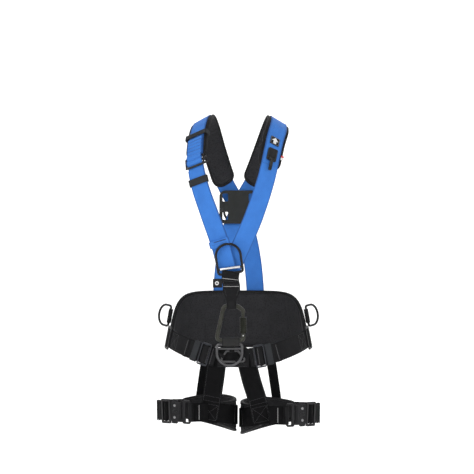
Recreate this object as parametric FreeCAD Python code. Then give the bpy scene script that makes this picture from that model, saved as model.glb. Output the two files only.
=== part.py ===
"""Fall-arrest and work-positioning harness, laid out as it sits on a wearer.

Millimetres. +Z up, the wearer faces -Y, so the wearer's right side is -X.
The origin is the centre of the wearer's waist at belt level.
"""
import FreeCAD, Part
import math
import os

V = FreeCAD.Vector

# ---- driving dimensions ------------------------------------------------------
WEB = 45.0            # width of the load webbing
WEB_T = 1.8           # its thickness
GAP = 0.5             # free gap between layers that lie on each other
PAD_T = 9.0           # thickness of a pad
KEEPER_T = 1.2        # elastic keeper band
RING_R = 3.0          # rod radius of the attachment rings
FRAME_T = 3.0         # thickness of pressed buckle frames
FRAME_LIFT = 3.7      # middle plane of a slide above the strap's line
CLIMB = 5.6           # how far webbing climbs to pass over a slide's centre bar
STATION = 16.0        # spacing of the cross-sections along a strap
RIGHT, LEFT = -1, 1   # side of the wearer, as the sign of X

# Torso: height, half width, depth to the front, depth to the back
TORSO = [(-230, 176, 104, 112), (-120, 172, 112, 122), (-60, 165, 110, 116), (-30, 161, 109, 110),
         (0, 156, 107, 104), (40, 149, 108, 98), (80, 141, 109, 94), (160, 146, 118, 104), (260, 160, 122, 120)]
TORSO_POWER = 2.3
THIGH_X = 103.0       # centre of a thigh
THIGH_OUT, THIGH_IN, THIGH_RY = 79.0, 89.5, 90.0   # its radii outwards, inwards and to the front
THIGH_Z = {RIGHT: -194.0, LEFT: -201.0}


# ---- the wearer's surface ----------------------------------------------------
def torso_size(z):
    for low, high in zip(TORSO, TORSO[1:]):
        if z <= high[0] or high is TORSO[-1]:
            f = min(max((z - low[0]) / (high[0] - low[0]), 0.0), 1.0)
            return [low[k] + (high[k] - low[k]) * f for k in (1, 2, 3)]


def torso_point(turn, z, height=0.0):
    """Point on the torso: turn is degrees from the back, positive towards the wearer's left."""
    half, front, back = torso_size(z)
    s, c = math.sin(math.radians(turn)), math.cos(math.radians(turn))
    depth = back if c >= 0 else front
    e = 2.0 / TORSO_POWER
    x = math.copysign(abs(s) ** e, s) * (half + height)
    y = math.copysign(abs(c) ** e, c) * (depth + height)
    return V(x, y, z)


def thigh_point(side, turn, z, height=0.0):
    """Point on a thigh: turn is degrees from the front, positive towards the outside."""
    s, c = math.sin(math.radians(turn)), math.cos(math.radians(turn))
    radius = THIGH_OUT if s > 0 else THIGH_IN
    return V(side * (THIGH_X + s * (radius + height)), -c * (THIGH_RY + height), z)


def torso_outward(p):
    core = V(0.3 * p.x, 0, min(p.z, 385.0))
    return (p - core).normalize()


def flat_outward(p):
    return V(p.x * 0.5, p.y, 0).normalize()


def torso_outward_level(p):
    """Face direction of a strap that lies level round the torso, leaning with its slope."""
    low, high = torso_size(p.z - 22), torso_size(p.z + 22)
    k = 2 if p.y > 0 else 1
    n = V(p.x * 0.5, p.y, 0).normalize()
    lean = ((high[0] - low[0]) * n.x ** 2 + (high[k] - low[k]) * n.y ** 2) / 44
    return (n - V(0, 0, lean)).normalize()


def thigh_outward(side):
    return lambda p: V(p.x - side * THIGH_X, p.y, 0).normalize()


# ---- routes and straps -------------------------------------------------------
class Route:
    """A smooth line through points, with the strap's width and face direction at each length."""

    def __init__(self, points, outward, steps=24):
        pts = [V(*p) if isinstance(p, tuple) else p for p in points]
        pts = [pts[0] * 2 - pts[1]] + pts + [pts[-1] * 2 - pts[-2]]
        self.line = []
        for a, b, c, d in zip(pts, pts[1:], pts[2:], pts[3:]):
            for k in range(steps):
                t = k / steps
                self.line.append((b * 2 + (c - a) * t + (a * 2 - b * 5 + c * 4 - d) * t ** 2
                                  + (b * 3 - a - c * 3 + d) * t ** 3) * 0.5)
        self.line.append(pts[-2])
        self.reach = [0.0]
        for a, b in zip(self.line, self.line[1:]):
            self.reach.append(self.reach[-1] + (b - a).Length)
        self.length = self.reach[-1]
        self.outward = outward

    def point(self, s):
        if s <= 0:
            return self.line[0] + (self.line[1] - self.line[0]).normalize() * s
        for k in range(1, len(self.line)):
            if s <= self.reach[k]:
                f = (s - self.reach[k - 1]) / (self.reach[k] - self.reach[k - 1])
                return self.line[k - 1] * (1 - f) + self.line[k] * f
        return self.line[-1] + (self.line[-1] - self.line[-2]).normalize() * (s - self.length)

    def axes(self, s):
        """Point, direction along, direction across and face direction at length s."""
        p = self.point(s)
        along = (self.point(s + 6) - self.point(s - 6)).normalize()
        across = self.outward(p).cross(along).normalize()
        return p, along, across, along.cross(across).normalize()

    def nearest(self, key):
        """Length at which the point's key is smallest."""
        best = min(range(len(self.line)), key=lambda k: key(self.line[k]))
        return self.reach[best]


def strap(route, start, end, width=WEB, thickness=WEB_T, height=0.0, bars=(), taper=None):
    """A strip on a route. At each of the bars it climbs over a crossbar, height rise."""
    count = max(2, int(abs(end - start) / STATION) + 1)
    places = [start + (end - start) * k / count for k in range(count + 1)]
    for s, rise, half in bars:
        places = [q for q in places if abs(q - s) > half + 9]
        places += [s - half - 5, s - half, s + half, s + half + 5]
    sections = []
    for s in sorted(places):
        p, along, across, face = route.axes(s)
        lift = height + sum(rise for b, rise, half in bars if abs(s - b) <= half + 0.1)
        wide = width if taper is None else taper(s)
        low, high = p + face * lift, p + face * (lift + thickness)
        w = across * (wide / 2)
        sections.append(Part.makePolygon([low - w, low + w, high + w, high - w, low - w]))
    return Part.makeLoft(sections, True, True)


def stand_on(route, s, height=0.0):
    """Placement of a fitting on a route: its X runs along, Y across and Z out of the face."""
    p, along, across, face = route.axes(s)
    origin = p + face * height
    return FreeCAD.Matrix(along.x, across.x, face.x, origin.x, along.y, across.y, face.y, origin.y,
                          along.z, across.z, face.z, origin.z, 0, 0, 0, 1)


def placed(shape, matrix):
    out = shape.copy()
    out.transformShape(matrix)
    return out


# ---- basic solids ------------------------------------------------------------
def slab(x0, x1, y0, y1, z0, z1, corner=0.0):
    box = Part.makeBox(x1 - x0, y1 - y0, z1 - z0, V(x0, y0, z0))
    if corner:
        upright = [e for e in box.Edges if abs(e.tangentAt(e.FirstParameter).z) > 0.9]
        box = box.makeFillet(corner, upright)
    return box


def rounded_wire(points, radii, closed=True):
    """Straight runs joined by tangent arcs; an open wire keeps its two ends."""
    n = len(points)
    starts, ends, edges = [], [], []
    for k, (p, r) in enumerate(zip(points, radii)):
        if not closed and k in (0, n - 1):
            starts.append(p)
            ends.append(p)
            continue
        a, b = (points[k - 1] - p).normalize(), (points[(k + 1) % n] - p).normalize()
        half = a.getAngle(b) / 2
        cut = r / math.tan(half)
        middle = p + (a + b).normalize() * (r / math.sin(half) - r)
        starts.append(p + a * cut)
        ends.append(p + b * cut)
        edges.append((k, Part.Arc(starts[-1], middle, ends[-1]).toShape()))
    arcs = dict(edges)
    chain = []
    for k in range(n if closed else n - 1):
        m = (k + 1) % n
        if (starts[m] - ends[k]).Length > 1e-6:
            chain.append(Part.LineSegment(ends[k], starts[m]).toShape())
        if m in arcs:
            chain.append(arcs[m])
    return Part.Wire(chain)


def rod(wire, radius):
    """Round bar along a wire of tangent runs."""
    first = wire.OrderedEdges[0]
    start = first.valueAt(first.FirstParameter)
    ahead = first.tangentAt(first.FirstParameter)
    if first.Orientation == "Reversed":
        start, ahead = first.valueAt(first.LastParameter), first.tangentAt(first.LastParameter) * -1
    ring = Part.Wire(Part.makeCircle(radius, start, ahead))
    return wire.makePipeShell([ring], True, False)


def cut_all(shape, *tools):
    for tool in tools:
        shape = shape.cut(tool)
    return shape.removeSplitter()


def fuse_all(shapes):
    out = shapes[0]
    for shape in shapes[1:]:
        out = out.fuse(shape)
    return out.removeSplitter()


def group(shapes):
    return Part.makeCompound(shapes)


def extrude_outline(points, z0, z1):
    face = Part.Face(Part.makePolygon([V(x, y, z0) for x, y in points + points[:1]]))
    return face.extrude(V(0, 0, z1 - z0))


# ---- routes ------------------------------------------------------------------
SHOULDER = {
    RIGHT: [(-25, -121, 138), (-43, -122, 206), (-66, -123, 273), (-88, -118, 340), (-98, -104, 392),
            (-98, -78, 440), (-92, -38, 482), (-84, 12, 501), (-74, 62, 482), (-58, 102, 428),
            (-36, 129, 362), (-14, 142, 318), (5, 144, 276), (22, 134, 224), (34, 119, 160),
            (40, 112, 100), (42, 114, 50), (42, 118, -6)],
    LEFT: [(-24, -119, 128), (0, -121, 184), (34, -124, 262), (63, -119, 348), (78, -104, 412),
           (87, -78, 452), (97, -36, 486), (96, 14, 502), (86, 64, 482), (66, 104, 428),
           (40, 129, 362), (16, 142, 318), (-3, 144, 276), (-22, 134, 224), (-34, 119, 160),
           (-40, 112, 100), (-42, 114, 50), (-42, 118, -6)],
}
shoulder = {side: Route(SHOULDER[side], torso_outward) for side in (RIGHT, LEFT)}
LIFT = {RIGHT: 4.4, LEFT: 0.0}   # the right strap crosses over the left one on the back


def shoulder_at(side, z, front=True):
    """Length along a shoulder strap at a height, on the chest or on the back."""
    r = shoulder[side]
    return r.nearest(lambda p: abs(p.z - z) + (0 if (p.y < 12) == front else 1e3))


def belt_route(height):
    turns = [-100, -80, -60, -40, -20, 0, 20, 40, 60, 80, 100]
    heights = [-26, -20, -12, -6, -2, 0, -2, -6, -12, -20, -26]
    return Route([torso_point(t, z, height) for t, z in zip(turns, heights)], torso_outward_level)


belt = belt_route(PAD_T + 2.2)
FRONT_BELT = {
    RIGHT: [torso_point(-97, -22, 11), torso_point(-112, -28, 8), (-139, -76, -36), (-112, -97, -46),
            (-84, -107, -56), (-50, -113.5, -66)],
    LEFT: [torso_point(97, -22, 11), torso_point(112, -28, 8), (139, -76, -36), (112, -97, -46),
           (84, -107, -55), (54, -112.5, -61), (23, -113.5, -66)],
}
front_belt = {side: Route(FRONT_BELT[side], torso_outward_level) for side in (RIGHT, LEFT)}
RISER = {
    RIGHT: [(-49, -109.5, -60), (-56, -107.5, -118), (-64, -96, -170), (-72, -93.5, -219)],
    LEFT: [(16, -109.5, -60), (30, -107.5, -118), (46, -94.5, -172), (56, -90, -225)],
}
riser = {side: Route(RISER[side], lambda p: V(p.x * 0.002, -1, 0.05).normalize()) for side in (RIGHT, LEFT)}
REAR_LEG = {side: [(side * 72, 118, -18), (side * 78, 121, -70), (side * 86, 121, -120), (side * 96, 109, -190)]
            for side in (RIGHT, LEFT)}
rear_leg = {side: Route(REAR_LEG[side], torso_outward_level) for side in (RIGHT, LEFT)}


def thigh_route(side, turns, lift):
    """Level loop round a thigh; it falls towards the inside and a little towards the back."""
    points = []
    for turn in turns:
        drop = 14 * math.sin(math.radians(max(-turn, 0) / 2)) ** 2
        if -180 < turn < 0:
            drop += 12 * math.sin(math.radians(turn)) ** 2
        points.append(thigh_point(side, turn, THIGH_Z[side] - drop, lift))
    return Route(points, thigh_outward(side))


THIGH_LIFT = PAD_T + 1.4
# turns run from the front, round the inside and the back, to the outer front
thigh_pad_route = {side: thigh_route(side, [-30 - 12 * k for k in range(16)], 0.5) for side in (RIGHT, LEFT)}
thigh_back = {side: thigh_route(side, [-34 - 14.5 * k for k in range(21)], THIGH_LIFT)
              for side in (RIGHT, LEFT)}
TONGUE_ROUTE = [(119, -107), (107, -102.5), (94, -99), (72, -97.5)]
tongue_route = {side: Route([(side * x, y, THIGH_Z[side] - 2) for x, y in TONGUE_ROUTE], flat_outward)
                for side in (RIGHT, LEFT)}
thigh_front = {side: thigh_route(side, [-8 + 10 * k for k in range(11)], THIGH_LIFT) for side in (RIGHT, LEFT)}


# ---- shoulder straps and what is on them ---------------------------------------
ADJUST_Z = 395.0      # height of the shoulder adjuster
PAD_ENDS = {RIGHT: (404.0, 350.0), LEFT: (378.0, 350.0)}   # pad: front end and back end


def shoulder_strap(side):
    r = shoulder[side]
    bars = [(shoulder_at(RIGHT, ADJUST_Z), CLIMB, 3.2)] if side == RIGHT else ()
    return strap(r, 0, r.length, height=LIFT[side], bars=bars)


def pad_width(side, start, end):
    """Full width along the pad, narrowing to round ends."""
    def width(s):
        f = min(s - start, end - s) / 30.0
        return 58.0 if f >= 1 else 40.0 + 18.0 * math.sin(math.radians(90 * max(f, 0.0)))
    return width


def shoulder_pad(side):
    front, back = PAD_ENDS[side]
    start, end = shoulder_at(side, front), shoulder_at(side, back, False)
    depth = 7.0
    return strap(shoulder[side], start, end, thickness=depth, height=LIFT[side] - depth - GAP,
                 taper=pad_width(side, start, end))


def shoulder_tail():
    """Free end of the right strap, folded back down the chest on top of it."""
    r = shoulder[RIGHT]
    return strap(r, shoulder_at(RIGHT, 204), shoulder_at(RIGHT, 378), height=LIFT[RIGHT] + WEB_T + GAP)


def stitched_end():
    """Ribbed end of the webbing above the adjuster, where it is sewn down in folds."""
    r = shoulder[RIGHT]
    start, end = shoulder_at(RIGHT, 412), shoulder_at(RIGHT, 448)
    return strap(r, start, end, width=41, height=LIFT[RIGHT] + WEB_T + GAP)


def keeper(route, s, length, inner_low, inner_high, width=WEB, slack=0.4, edge=1.0):
    """Elastic band round the layers between two heights."""
    low, high = inner_low - slack, inner_high + slack
    w = width / 2 + edge
    outside = slab(-length / 2, length / 2, -w - KEEPER_T, w + KEEPER_T, low - KEEPER_T, high + KEEPER_T)
    inside = slab(-length, length, -w, w, low, high)
    return placed(outside.cut(inside), stand_on(route, s))


def slide_frame(length, width, centre=5.0, thick=FRAME_T, slot=7.5):
    """Pressed three-bar slide: two slots either side of a centre bar, middle plane at zero."""
    body = slab(-length / 2, length / 2, -width / 2, width / 2, -thick / 2, thick / 2, 4.0)
    reach = slot + centre / 2
    half = (WEB + 1.6) / 2
    for sign in (-1, 1):
        x0, x1 = sorted((sign * centre / 2, sign * reach))
        body = body.cut(slab(x0, x1, -half, half, -thick, thick))
    return body


def shoulder_adjuster():
    """Ladder slide with one long handle end that stands out past the webbing."""
    frame = slide_frame(27, 54)
    ear = slab(-5, 5, -34, -26, -FRAME_T / 2, FRAME_T / 2, 3.0)
    s = shoulder_at(RIGHT, ADJUST_Z)
    return placed(fuse_all([frame, ear]), stand_on(shoulder[RIGHT], s, LIFT[RIGHT] + FRAME_LIFT))


def park_plate():
    """Lanyard keeper plate sewn on the left shoulder pad, with the fork of its tab."""
    plate = slab(-16, 16, -12.5, 12.5, 0, 2.5, 4.0)
    forks = [slab(10, 16, y0, y0 + 3, 2.5, 8.5) for y0 in (-7.5, 4.5)]
    hole = Part.makeCylinder(1.05, 20, V(13, -10, 5.7), V(0, 1, 0))
    return placed(fuse_all([plate] + forks).cut(hole), PARK)


def park_tab():
    """Breakaway tab that hangs from the plate on its own cross pin."""
    body = slab(11.5, 42, -3.8, 3.8, 4.2, 7.4, 3.0).fuse(
        Part.makeCylinder(1.0, 14.6, V(13, -7.3, 5.7), V(0, 1, 0)))
    eye = Part.makeCylinder(2.4, 7.6, V(13, -3.8, 5.7), V(0, 1, 0))
    return placed(body.fuse(eye), PARK)


park_s = shoulder_at(LEFT, 411)
PARK = stand_on(shoulder[LEFT], park_s, WEB_T + 0.4)
PARK = PARK.multiply(FreeCAD.Rotation(V(0, 0, 1), 180).toMatrix())


def pad_patch():
    """Plain square badge on the left shoulder strap."""
    badge = slab(-12, 12, -12, 12, 0, 1.0, 2.0)
    return placed(badge, stand_on(shoulder[LEFT], shoulder_at(LEFT, 445), WEB_T + 0.6))


# ---- attachment rings -----------------------------------------------------------
def d_loop(half, depth, corner=6.0):
    """Centre line of a D: the bar on the X axis, the bow towards -Y."""
    bow = min(half - 0.5, depth - corner - 1)
    points = [V(half, 0, 0), V(half, -depth, 0), V(-half, -depth, 0), V(-half, 0, 0)]
    return rounded_wire(points, [corner, bow, bow, corner])


def d_ring(half, depth, radius=RING_R):
    return rod(d_loop(half, depth), radius)


def slot_ring(half, depth, slot, radius=RING_R, lower=2.6):
    """D-ring with a webbing slot between the bar it hangs on and a second bar."""
    bar = Part.makeCylinder(lower, 2 * half, V(-half, -slot, 0), V(1, 0, 0))
    return d_ring(half, depth, radius).fuse(bar).removeSplitter()


def fold(radius, width, run, thickness=WEB_T, slack=0.25):
    """Webbing folded round a bar on the X axis, its two layers running towards +Y."""
    inner, outer = radius + slack, radius + slack + thickness
    tube = Part.makeCylinder(outer, width, V(-width / 2, 0, 0), V(1, 0, 0))
    tube = tube.cut(Part.makeCylinder(inner, width, V(-width / 2, 0, 0), V(1, 0, 0)))
    tube = tube.cut(slab(-width, width, 0, outer + 1, -outer - 1, outer + 1))
    layers = [slab(-width / 2, width / 2, 0, run, z, z + thickness) for z in (inner, -outer)]
    return fuse_all([tube] + layers)


def upright(x, y, z, tilt=0.0, lean=0.0):
    """Placement of a fitting that faces the front: its Y axis points up, turned by tilt in its plane."""
    m = FreeCAD.Matrix()
    m.rotateX(math.radians(90 + lean))
    m.rotateY(math.radians(-tilt))
    m.move(V(x, y, z))
    return m


# ---- chest ring and its connector ----------------------------------------------
HARDWARE_Y = -136.2   # plane of the chest ring, carabiner and ventral ring
CHEST_TILT = 8.5
CHEST_X, CHEST_Z = -18.0, 134.0
CHEST = upright(CHEST_X, HARDWARE_Y, CHEST_Z, CHEST_TILT)
CHEST_SLOT = 12.0


def chest_ring():
    """Stands up from the bar that the connector webbing holds."""
    ring = slot_ring(29, 69, CHEST_SLOT)
    ring.rotate(V(0, 0, 0), V(1, 0, 0), 180)
    return placed(ring, CHEST)


def racetrack(top_r, top_y, low_y, low_r, half):
    """Solid between two cylinders on parallel X axes, joined by flat sides."""
    top = Part.makeCylinder(top_r, 2 * half, V(-half, top_y, 0), V(1, 0, 0))
    low = Part.makeCylinder(low_r, 2 * half, V(-half, low_y, 0), V(1, 0, 0))
    points = [V(-half, top_y, top_r), V(-half, low_y, low_r), V(-half, low_y, -low_r), V(-half, top_y, -top_r)]
    side = Part.Face(Part.makePolygon(points + points[:1])).extrude(V(2 * half, 0, 0))
    return fuse_all([top, low, side])


CARA_TOP, CARA_LOW = 57.0, -23.0   # heights of the carabiner's two end bars
CARA_R = 5.0
SLEEVE_R = 8.2


def connector_strap():
    """Black webbing from the chest ring to the carabiner's top bar, narrowing downwards."""
    half, narrow = 20.5, 10.0
    ring_hole, cara_hole = RING_R + 0.4, CARA_R + 0.7
    upper = racetrack(ring_hole + WEB_T, 0, -17, WEB_T, half).cut(racetrack(ring_hole, 0, -11, 0.3, half + 9))
    lower = fuse_all([racetrack(WEB_T, CHEST_Z - 15, CARA_TOP + 26, WEB_T, half),
                      racetrack(WEB_T, CARA_TOP + 26, CARA_TOP, cara_hole + WEB_T, half)])
    lower = lower.cut(racetrack(0.3, CARA_TOP + 20, CARA_TOP, cara_hole, half + 9))
    edge = [(-half, CHEST_Z), (-half, 98), (-narrow, 66), (-narrow, 40),
            (narrow, 40), (narrow, 66), (half, 98), (half, CHEST_Z)]
    lower = lower.common(extrude_outline(edge, -20, 20))
    return placed(upper, CHEST).fuse(placed(lower, upright(CHEST_X + 1.5, HARDWARE_Y, 0))).removeSplitter()


def marker_label():
    """Small sewn label that stands out beside the connector."""
    return placed(slab(-44, -22.0, 100, 121, -0.6, 0.6, 1.5), upright(CHEST_X + 2, HARDWARE_Y, 0))


# ---- carabiner --------------------------------------------------------------
CARA = upright(-16, HARDWARE_Y, 0)
GATE_X, GATE_LOW, GATE_HIGH = 27.0, -17.0, 42.0
CARA_LINE = [V(GATE_X, GATE_LOW, 0), V(GATE_X, CARA_LOW, 0), V(-36, CARA_LOW, 0), V(-18, CARA_TOP, 0),
             V(13, CARA_TOP, 0), V(GATE_X, 47, 0), V(GATE_X, GATE_HIGH, 0)]
CARA_RADII = [0, 5.8, 9, 9, 9, 8, 0]
NOSE_R = 3.4


def carabiner_body():
    line = rounded_wire(CARA_LINE, CARA_RADII, closed=False)
    nose = Part.makeCylinder(NOSE_R, 9, V(GATE_X, GATE_HIGH, 0), V(0, -1, 0))
    fork = slab(GATE_X - 5, GATE_X + 5, GATE_LOW - 1, GATE_LOW + 8.2, -5.0, 5.0)
    fork = fork.cut(slab(GATE_X - 6, GATE_X + 6, GATE_LOW + 0.4, GATE_LOW + 12, -3.0, 3.0))
    body = fuse_all([rod(line, CARA_R), nose, fork])
    return placed(body.cut(gate_pin_solid(1.5)), CARA)


PIN_Y = GATE_LOW + 5


def gate_pin_solid(radius):
    return Part.makeCylinder(radius, 10.0, V(GATE_X, PIN_Y, -5.0), V(0, 0, 1))


def carabiner_gate():
    """Gate: slotted upper end that takes the nose, and a flat lower tang on the pin."""
    y0 = GATE_LOW + 11
    bar = Part.makeCylinder(4.6, GATE_HIGH - 0.6 - y0, V(GATE_X, y0, 0), V(0, 1, 0))
    nose_slot = slab(GATE_X - 3.9, GATE_X + 6, GATE_HIGH - 10.5, GATE_HIGH + 1, -3.9, 3.9)
    tang = slab(GATE_X - 3.6, GATE_X + 3.6, GATE_LOW + 1.6, y0 + 1, -2.6, 2.6)
    gate = fuse_all([bar.cut(nose_slot), tang]).cut(gate_pin_solid(1.55))
    return placed(gate, CARA)


def lock_sleeve():
    """Ribbed screw-lock sleeve. It runs up the gate to cover the nose."""
    y0, y1 = GATE_LOW + 11.6, GATE_HIGH - 11.0
    tube = Part.makeCylinder(SLEEVE_R, y1 - y0, V(GATE_X, y0, 0), V(0, 1, 0))
    for k in range(7):
        groove = Part.makeTorus(SLEEVE_R + 0.6, 1.2, V(GATE_X, y0 + 6 + 4.4 * k, 0), V(0, 1, 0))
        tube = tube.cut(groove)
    bore = Part.makeCylinder(4.66, y1 - y0 + 2, V(GATE_X, y0 - 1, 0), V(0, 1, 0))
    return placed(tube.cut(bore), CARA)


# ---- ventral fittings ----------------------------------------------------------
VENTRAL_X, VENTRAL_BAR_Z = -18.0, -32.8
VENTRAL_RING_X = -21.0
VENTRAL_SLOT = 9.8


def ventral_loop():
    """Closed loop of webbing round the carabiner's lower bar and the ventral ring's upper bar."""
    half, top_hole, low_hole = 20.5, CARA_R + 0.7, RING_R + 0.4
    outside = racetrack(top_hole + WEB_T, CARA_LOW, VENTRAL_BAR_Z, low_hole + WEB_T, half)
    inside = racetrack(top_hole, CARA_LOW, VENTRAL_BAR_Z, low_hole, half + 5)
    return placed(outside.cut(inside), upright(VENTRAL_X, HARDWARE_Y, 0))


def ventral_ring():
    return placed(slot_ring(29.5, 49, VENTRAL_SLOT), upright(VENTRAL_RING_X, HARDWARE_Y, VENTRAL_BAR_Z))


FRONT_Y = -121.0      # plane of the ring that gathers the belt and the ventral loop
FRONT_R = 2.4
RING_LOW, RING_TOP = -74.0, -49.0
FRONT_RING = [(-44, RING_LOW), (19, RING_LOW), (-1, RING_TOP), (-28, RING_TOP)]


def front_ring():
    points = [V(x, z, 0) for x, z in FRONT_RING]
    return placed(rod(rounded_wire(points, [5] * 4), FRONT_R), upright(0, FRONT_Y, 0))


def ring_folds():
    """Webbing folds round the ring: the ventral strap on top, a belt end on each slanted leg."""
    top = placed(fold(FRONT_R, 16, 19), upright(-15.5, FRONT_Y, RING_TOP))
    folds = [top]
    for (x0, z0), (x1, z1) in ((FRONT_RING[0], FRONT_RING[3]), (FRONT_RING[1], FRONT_RING[2])):
        slope = math.degrees(math.atan2(z1 - z0, x1 - x0))
        piece = fold(FRONT_R, 14, 20)
        folds.append(placed(piece, upright((x0 + x1) / 2, FRONT_Y, (z0 + z1) / 2, slope)))
    return group(folds)


def belt_bridge():
    """Black backing that joins the two belt ends behind the gathering ring."""
    outline = [(-49, -88), (22, -88), (22, -50), (8, -42), (-36, -42), (-49, -48)]
    return placed(extrude_outline(outline, 0, 1.2), upright(0, -114.2, 0))


# ---- belt ----------------------------------------------------------------------
PAD_EDGE = 96.0       # how far round from the back the belt pad reaches
SIDE_X = {RIGHT: -80.0, LEFT: 50.0}      # the two belt adjusters
KEEPER_X = {RIGHT: -101.0, LEFT: 72.0}
TAIL_X = {RIGHT: -124.0, LEFT: 95.0}


def belt_pad():
    sections = []
    for k in range(-12, 13):
        turn = PAD_EDGE * k / 12
        top = -6 + 91 * (1 - abs(k / 12) ** 5)
        low = -46 - 12 * math.cos(math.radians(turn)) ** 2
        levels = [low + (top - low) * f for f in (0, 0.3, 0.6, 1)]
        ring = [torso_point(turn, z, 0.5) for z in levels]
        ring += [torso_point(turn, z, 0.5 + PAD_T) for z in reversed(levels)]
        sections.append(Part.makePolygon(ring + ring[:1]))
    return Part.makeLoft(sections, True, True)


def belt_webbing():
    return strap(belt, belt.nearest(lambda p: (p - torso_point(-90, -21, 10)).Length),
                 belt.nearest(lambda p: (p - torso_point(90, -21, 10)).Length))


def belt_at(side, x):
    r = front_belt[side]
    return r.nearest(lambda p: abs(p.x - x) + (0 if p.y < -30 else 1e3))


SIDE_S = 13.0         # the side adjuster's place along the front strap


def belt_front(side):
    r = front_belt[side]
    bars = [(SIDE_S, CLIMB, 3.2), (belt_at(side, SIDE_X[side]), CLIMB, 3.2)]
    base = strap(r, 0, r.length - 4, bars=bars)
    tail = strap(r, belt_at(side, TAIL_X[side]), belt_at(side, SIDE_X[side]) - 16, height=WEB_T + GAP)
    return group([base, tail])


def belt_adjuster(side):
    return placed(slide_frame(25, 54), stand_on(front_belt[side], belt_at(side, SIDE_X[side]), FRAME_LIFT))


def side_adjuster(side):
    return placed(slide_frame(25, 56), stand_on(front_belt[side], SIDE_S, FRAME_LIFT))


def belt_keepers():
    return group([keeper(front_belt[s], belt_at(s, KEEPER_X[s]), 15, 0, 2 * WEB_T + GAP, slack=0.8)
                  for s in (RIGHT, LEFT)])


# ---- side rings -----------------------------------------------------------------
SIDE_TURN = 86.0
SIDE_Z = 26.0
SIDE_R = 2.8
SIDE_HALF, SIDE_DEPTH = 25.0, 43.0
SIDE_REST = 50.0      # angle of the resting ring from straight out, towards the back


def side_bar(side):
    """Middle of the bar, its upward direction, straight out and backwards."""
    lift = 0.5 + PAD_T + 2.2 + WEB_T + 0.3 + SIDE_R
    low, high = (torso_point(side * SIDE_TURN, z, lift) for z in (SIDE_Z - 20, SIDE_Z + 20))
    up = (high - low).normalize()
    back = V(0, 1, 0)
    return (low + high) * 0.5, up, (back.cross(up) * side).normalize(), back


def axes_matrix(origin, x, y):
    z = x.cross(y)
    return FreeCAD.Matrix(x.x, y.x, z.x, origin.x, x.y, y.y, z.y, origin.y, x.z, y.z, z.z, origin.z, 0, 0, 0, 1)


def side_ring(side):
    origin, up, out, back = side_bar(side)
    a = math.radians(SIDE_REST)
    away = out * math.cos(a) + back * math.sin(a)
    return placed(d_ring(SIDE_HALF, SIDE_DEPTH, SIDE_R), axes_matrix(origin, up, away * -1))


def side_loop(side):
    origin, up, out, back = side_bar(side)
    return placed(fold(SIDE_R, 34, 30, slack=0.3), axes_matrix(origin, up, back))


# ---- dorsal fittings --------------------------------------------------------------
DORSAL_Y, DORSAL_Z = 137.3, 297.0
DORSAL_REST = 50.0    # the ring's angle below straight back


def dorsal_plate():
    plate = slab(-48, 48, 252, 336, 0, 3.0, 16.0)
    for x in (-33, 33):
        for z in (262, 308):
            plate = plate.cut(slab(x - 7, x + 7, z, z + 20, -1, 5, 3.0))
    return placed(plate, upright(0, DORSAL_Y - 4.0, 0))


def dorsal_ring():
    a = math.radians(DORSAL_REST)
    away = V(0, math.cos(a), -math.sin(a))
    return placed(d_ring(37, 56), axes_matrix(V(1, DORSAL_Y, DORSAL_Z), V(1, 0, 0), away * -1))


# ---- legs --------------------------------------------------------------------------
HOUSING_TURN, SLIDE_TURN = 26.0, 48.0


def thigh_at(side, turn):
    goal = thigh_point(side, turn, THIGH_Z[side], THIGH_LIFT)
    return thigh_front[side].nearest(lambda p: (p - goal).Length)


def back_at(side, turn):
    goal = thigh_point(side, turn, THIGH_Z[side], THIGH_LIFT)
    return thigh_back[side].nearest(lambda p: (p - goal).Length)


def leg_riser(side):
    r = riser[side]
    return strap(r, 0, r.length)


def thigh_pad(side):
    r = thigh_pad_route[side]
    return strap(r, 0, r.length, thickness=PAD_T,
                 taper=lambda s: 46.0 + 38.0 * math.sin(math.pi * s / r.length))


def thigh_strap(side):
    r = thigh_back[side]
    bars = [(back_at(side, SLIDE_TURN), CLIMB, 3.2)]
    base = strap(r, 0, r.length, bars=bars)
    tail = strap(r, back_at(side, 98), back_at(side, SLIDE_TURN) - 19, height=WEB_T + GAP)
    return group([base, tail])


def leg_slide(side):
    return placed(slide_frame(34, 58, centre=5.0, slot=9.0),
                  stand_on(thigh_back[side], back_at(side, SLIDE_TURN), FRAME_LIFT))


def leg_keepers():
    return group([keeper(thigh_back[s], back_at(s, 80), 12, 0, 2 * WEB_T + GAP, slack=0.8)
                  for s in (RIGHT, LEFT)])


BUCKLE_LIFT = 3.6     # height of the buckle's base plate over the line of the strap
BUCKLE = {s: stand_on(thigh_front[s], thigh_at(s, HOUSING_TURN), BUCKLE_LIFT) for s in (RIGHT, LEFT)}
BUCKLE_HALF = 15.0    # half length of the housing
PIVOT_X, PIVOT_Y = 4.0, 14.0
RIVET_R = 1.7
PLATE_T = 1.8
CAVITY = 4.0          # room between the two plates


def buckle_housing(side):
    """Two plates with a spacer block; the tongue and both levers work between them."""
    back = slab(-BUCKLE_HALF, BUCKLE_HALF, -25, 25, 0, PLATE_T, 3.0)
    front = slab(-BUCKLE_HALF, BUCKLE_HALF, -22.5, 22.5, PLATE_T + CAVITY, 2 * PLATE_T + CAVITY, 3.0)
    spacer = slab(10.5, BUCKLE_HALF, -8, 8, PLATE_T, PLATE_T + CAVITY)
    ends = [slab(10.5, BUCKLE_HALF, y - 1.2, y + 1.2, PLATE_T, PLATE_T + CAVITY) for y in (-10, 10)]
    shape = fuse_all([back, front, spacer] + ends)
    for y in (-PIVOT_Y, PIVOT_Y):
        shape = shape.cut(Part.makeCylinder(RIVET_R + 0.02, 20, V(PIVOT_X, y, -5), V(0, 0, 1)))
    return placed(shape, BUCKLE[side])


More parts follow.
